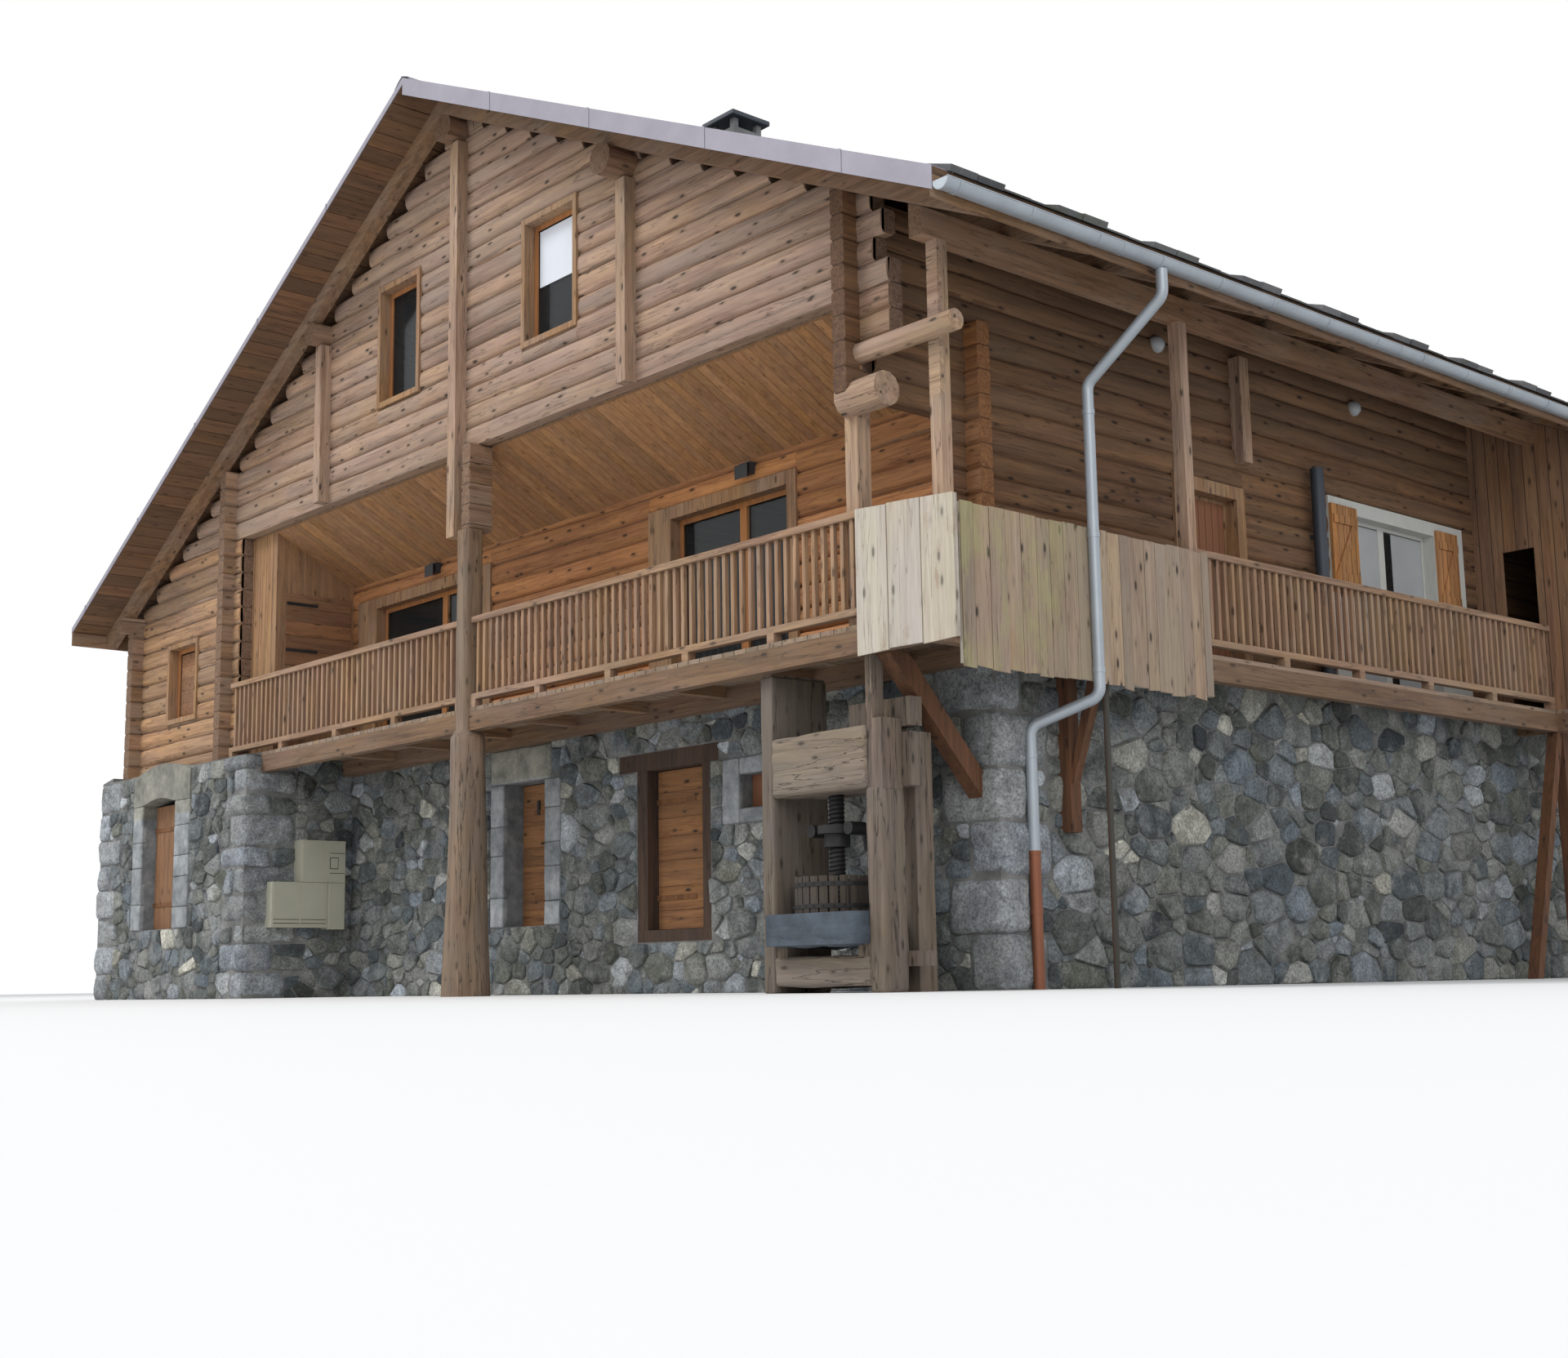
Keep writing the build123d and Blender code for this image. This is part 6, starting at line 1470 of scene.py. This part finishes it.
def sky(scene):
    """A pale sky light that the camera, gloss and glass see as white."""
    world = bpy.data.worlds.new("sky")
    scene.world = world
    world.use_nodes = True
    tree = world.node_tree
    light = tree.nodes["Background"]
    light.inputs["Color"].default_value = (0.93, 0.96, 1.0, 1)
    light.inputs["Strength"].default_value = 0.78
    white = tree.nodes.new("ShaderNodeBackground")
    white.inputs["Color"].default_value = (1, 1, 1, 1)
    rays = tree.nodes.new("ShaderNodeLightPath").outputs
    seen = rays["Is Camera Ray"]
    for kind in ("Is Glossy Ray", "Is Transmission Ray"):
        either = tree.nodes.new("ShaderNodeMath")
        either.operation = "MAXIMUM"
        tree.links.new(seen, either.inputs[0])
        tree.links.new(rays[kind], either.inputs[1])
        seen = either.outputs[0]
    mix = tree.nodes.new("ShaderNodeMixShader")
    for i, source in enumerate((seen, light.outputs[0], white.outputs[0])):
        tree.links.new(source, mix.inputs[i])
    tree.links.new(mix.outputs[0], tree.nodes["World Output"].inputs[0])


def area(name, place, target, size, power):
    light = bpy.data.lights.new(name, "AREA")
    light.shape = "DISK"
    light.size = size
    light.energy = power
    lamp = bpy.data.objects.new(name, light)
    bpy.context.scene.collection.objects.link(lamp)
    lamp.location = place
    lamp.rotation_euler = (Vector(target) - Vector(place)).to_track_quat("-Z", "Y").to_euler()


def photo_camera(scene):
    """The photograph's camera, solved from the vanishing points of walls, eaves and posts."""
    data = bpy.data.cameras.new("camera")
    data.sensor_width = 36.0
    data.lens = 44.34
    data.clip_end = 1000
    camera = bpy.data.objects.new("camera", data)
    scene.collection.objects.link(camera)
    solved = ((0.65989, 0.75119, -0.01587), (-0.12662, 0.09036, -0.98783), (-0.74062, 0.65387, 0.15474))
    right, down, ahead = (Vector(row).normalized() for row in solved)
    turn = Matrix((right, -down, -ahead)).transposed().to_4x4()
    camera.matrix_world = Matrix.Translation(at(17.5, -10.8, 0.10)) @ turn
    scene.camera = camera


stage()
sky(bpy.context.scene)
area("key", (-20, -38, 46), (0, -4, 4), 24, 17500)
area("fill", (46, -32, 24), (4, -3, 4), 30, 5600)
photo_camera(bpy.context.scene)
bpy.context.scene.view_settings.view_transform = "Standard"
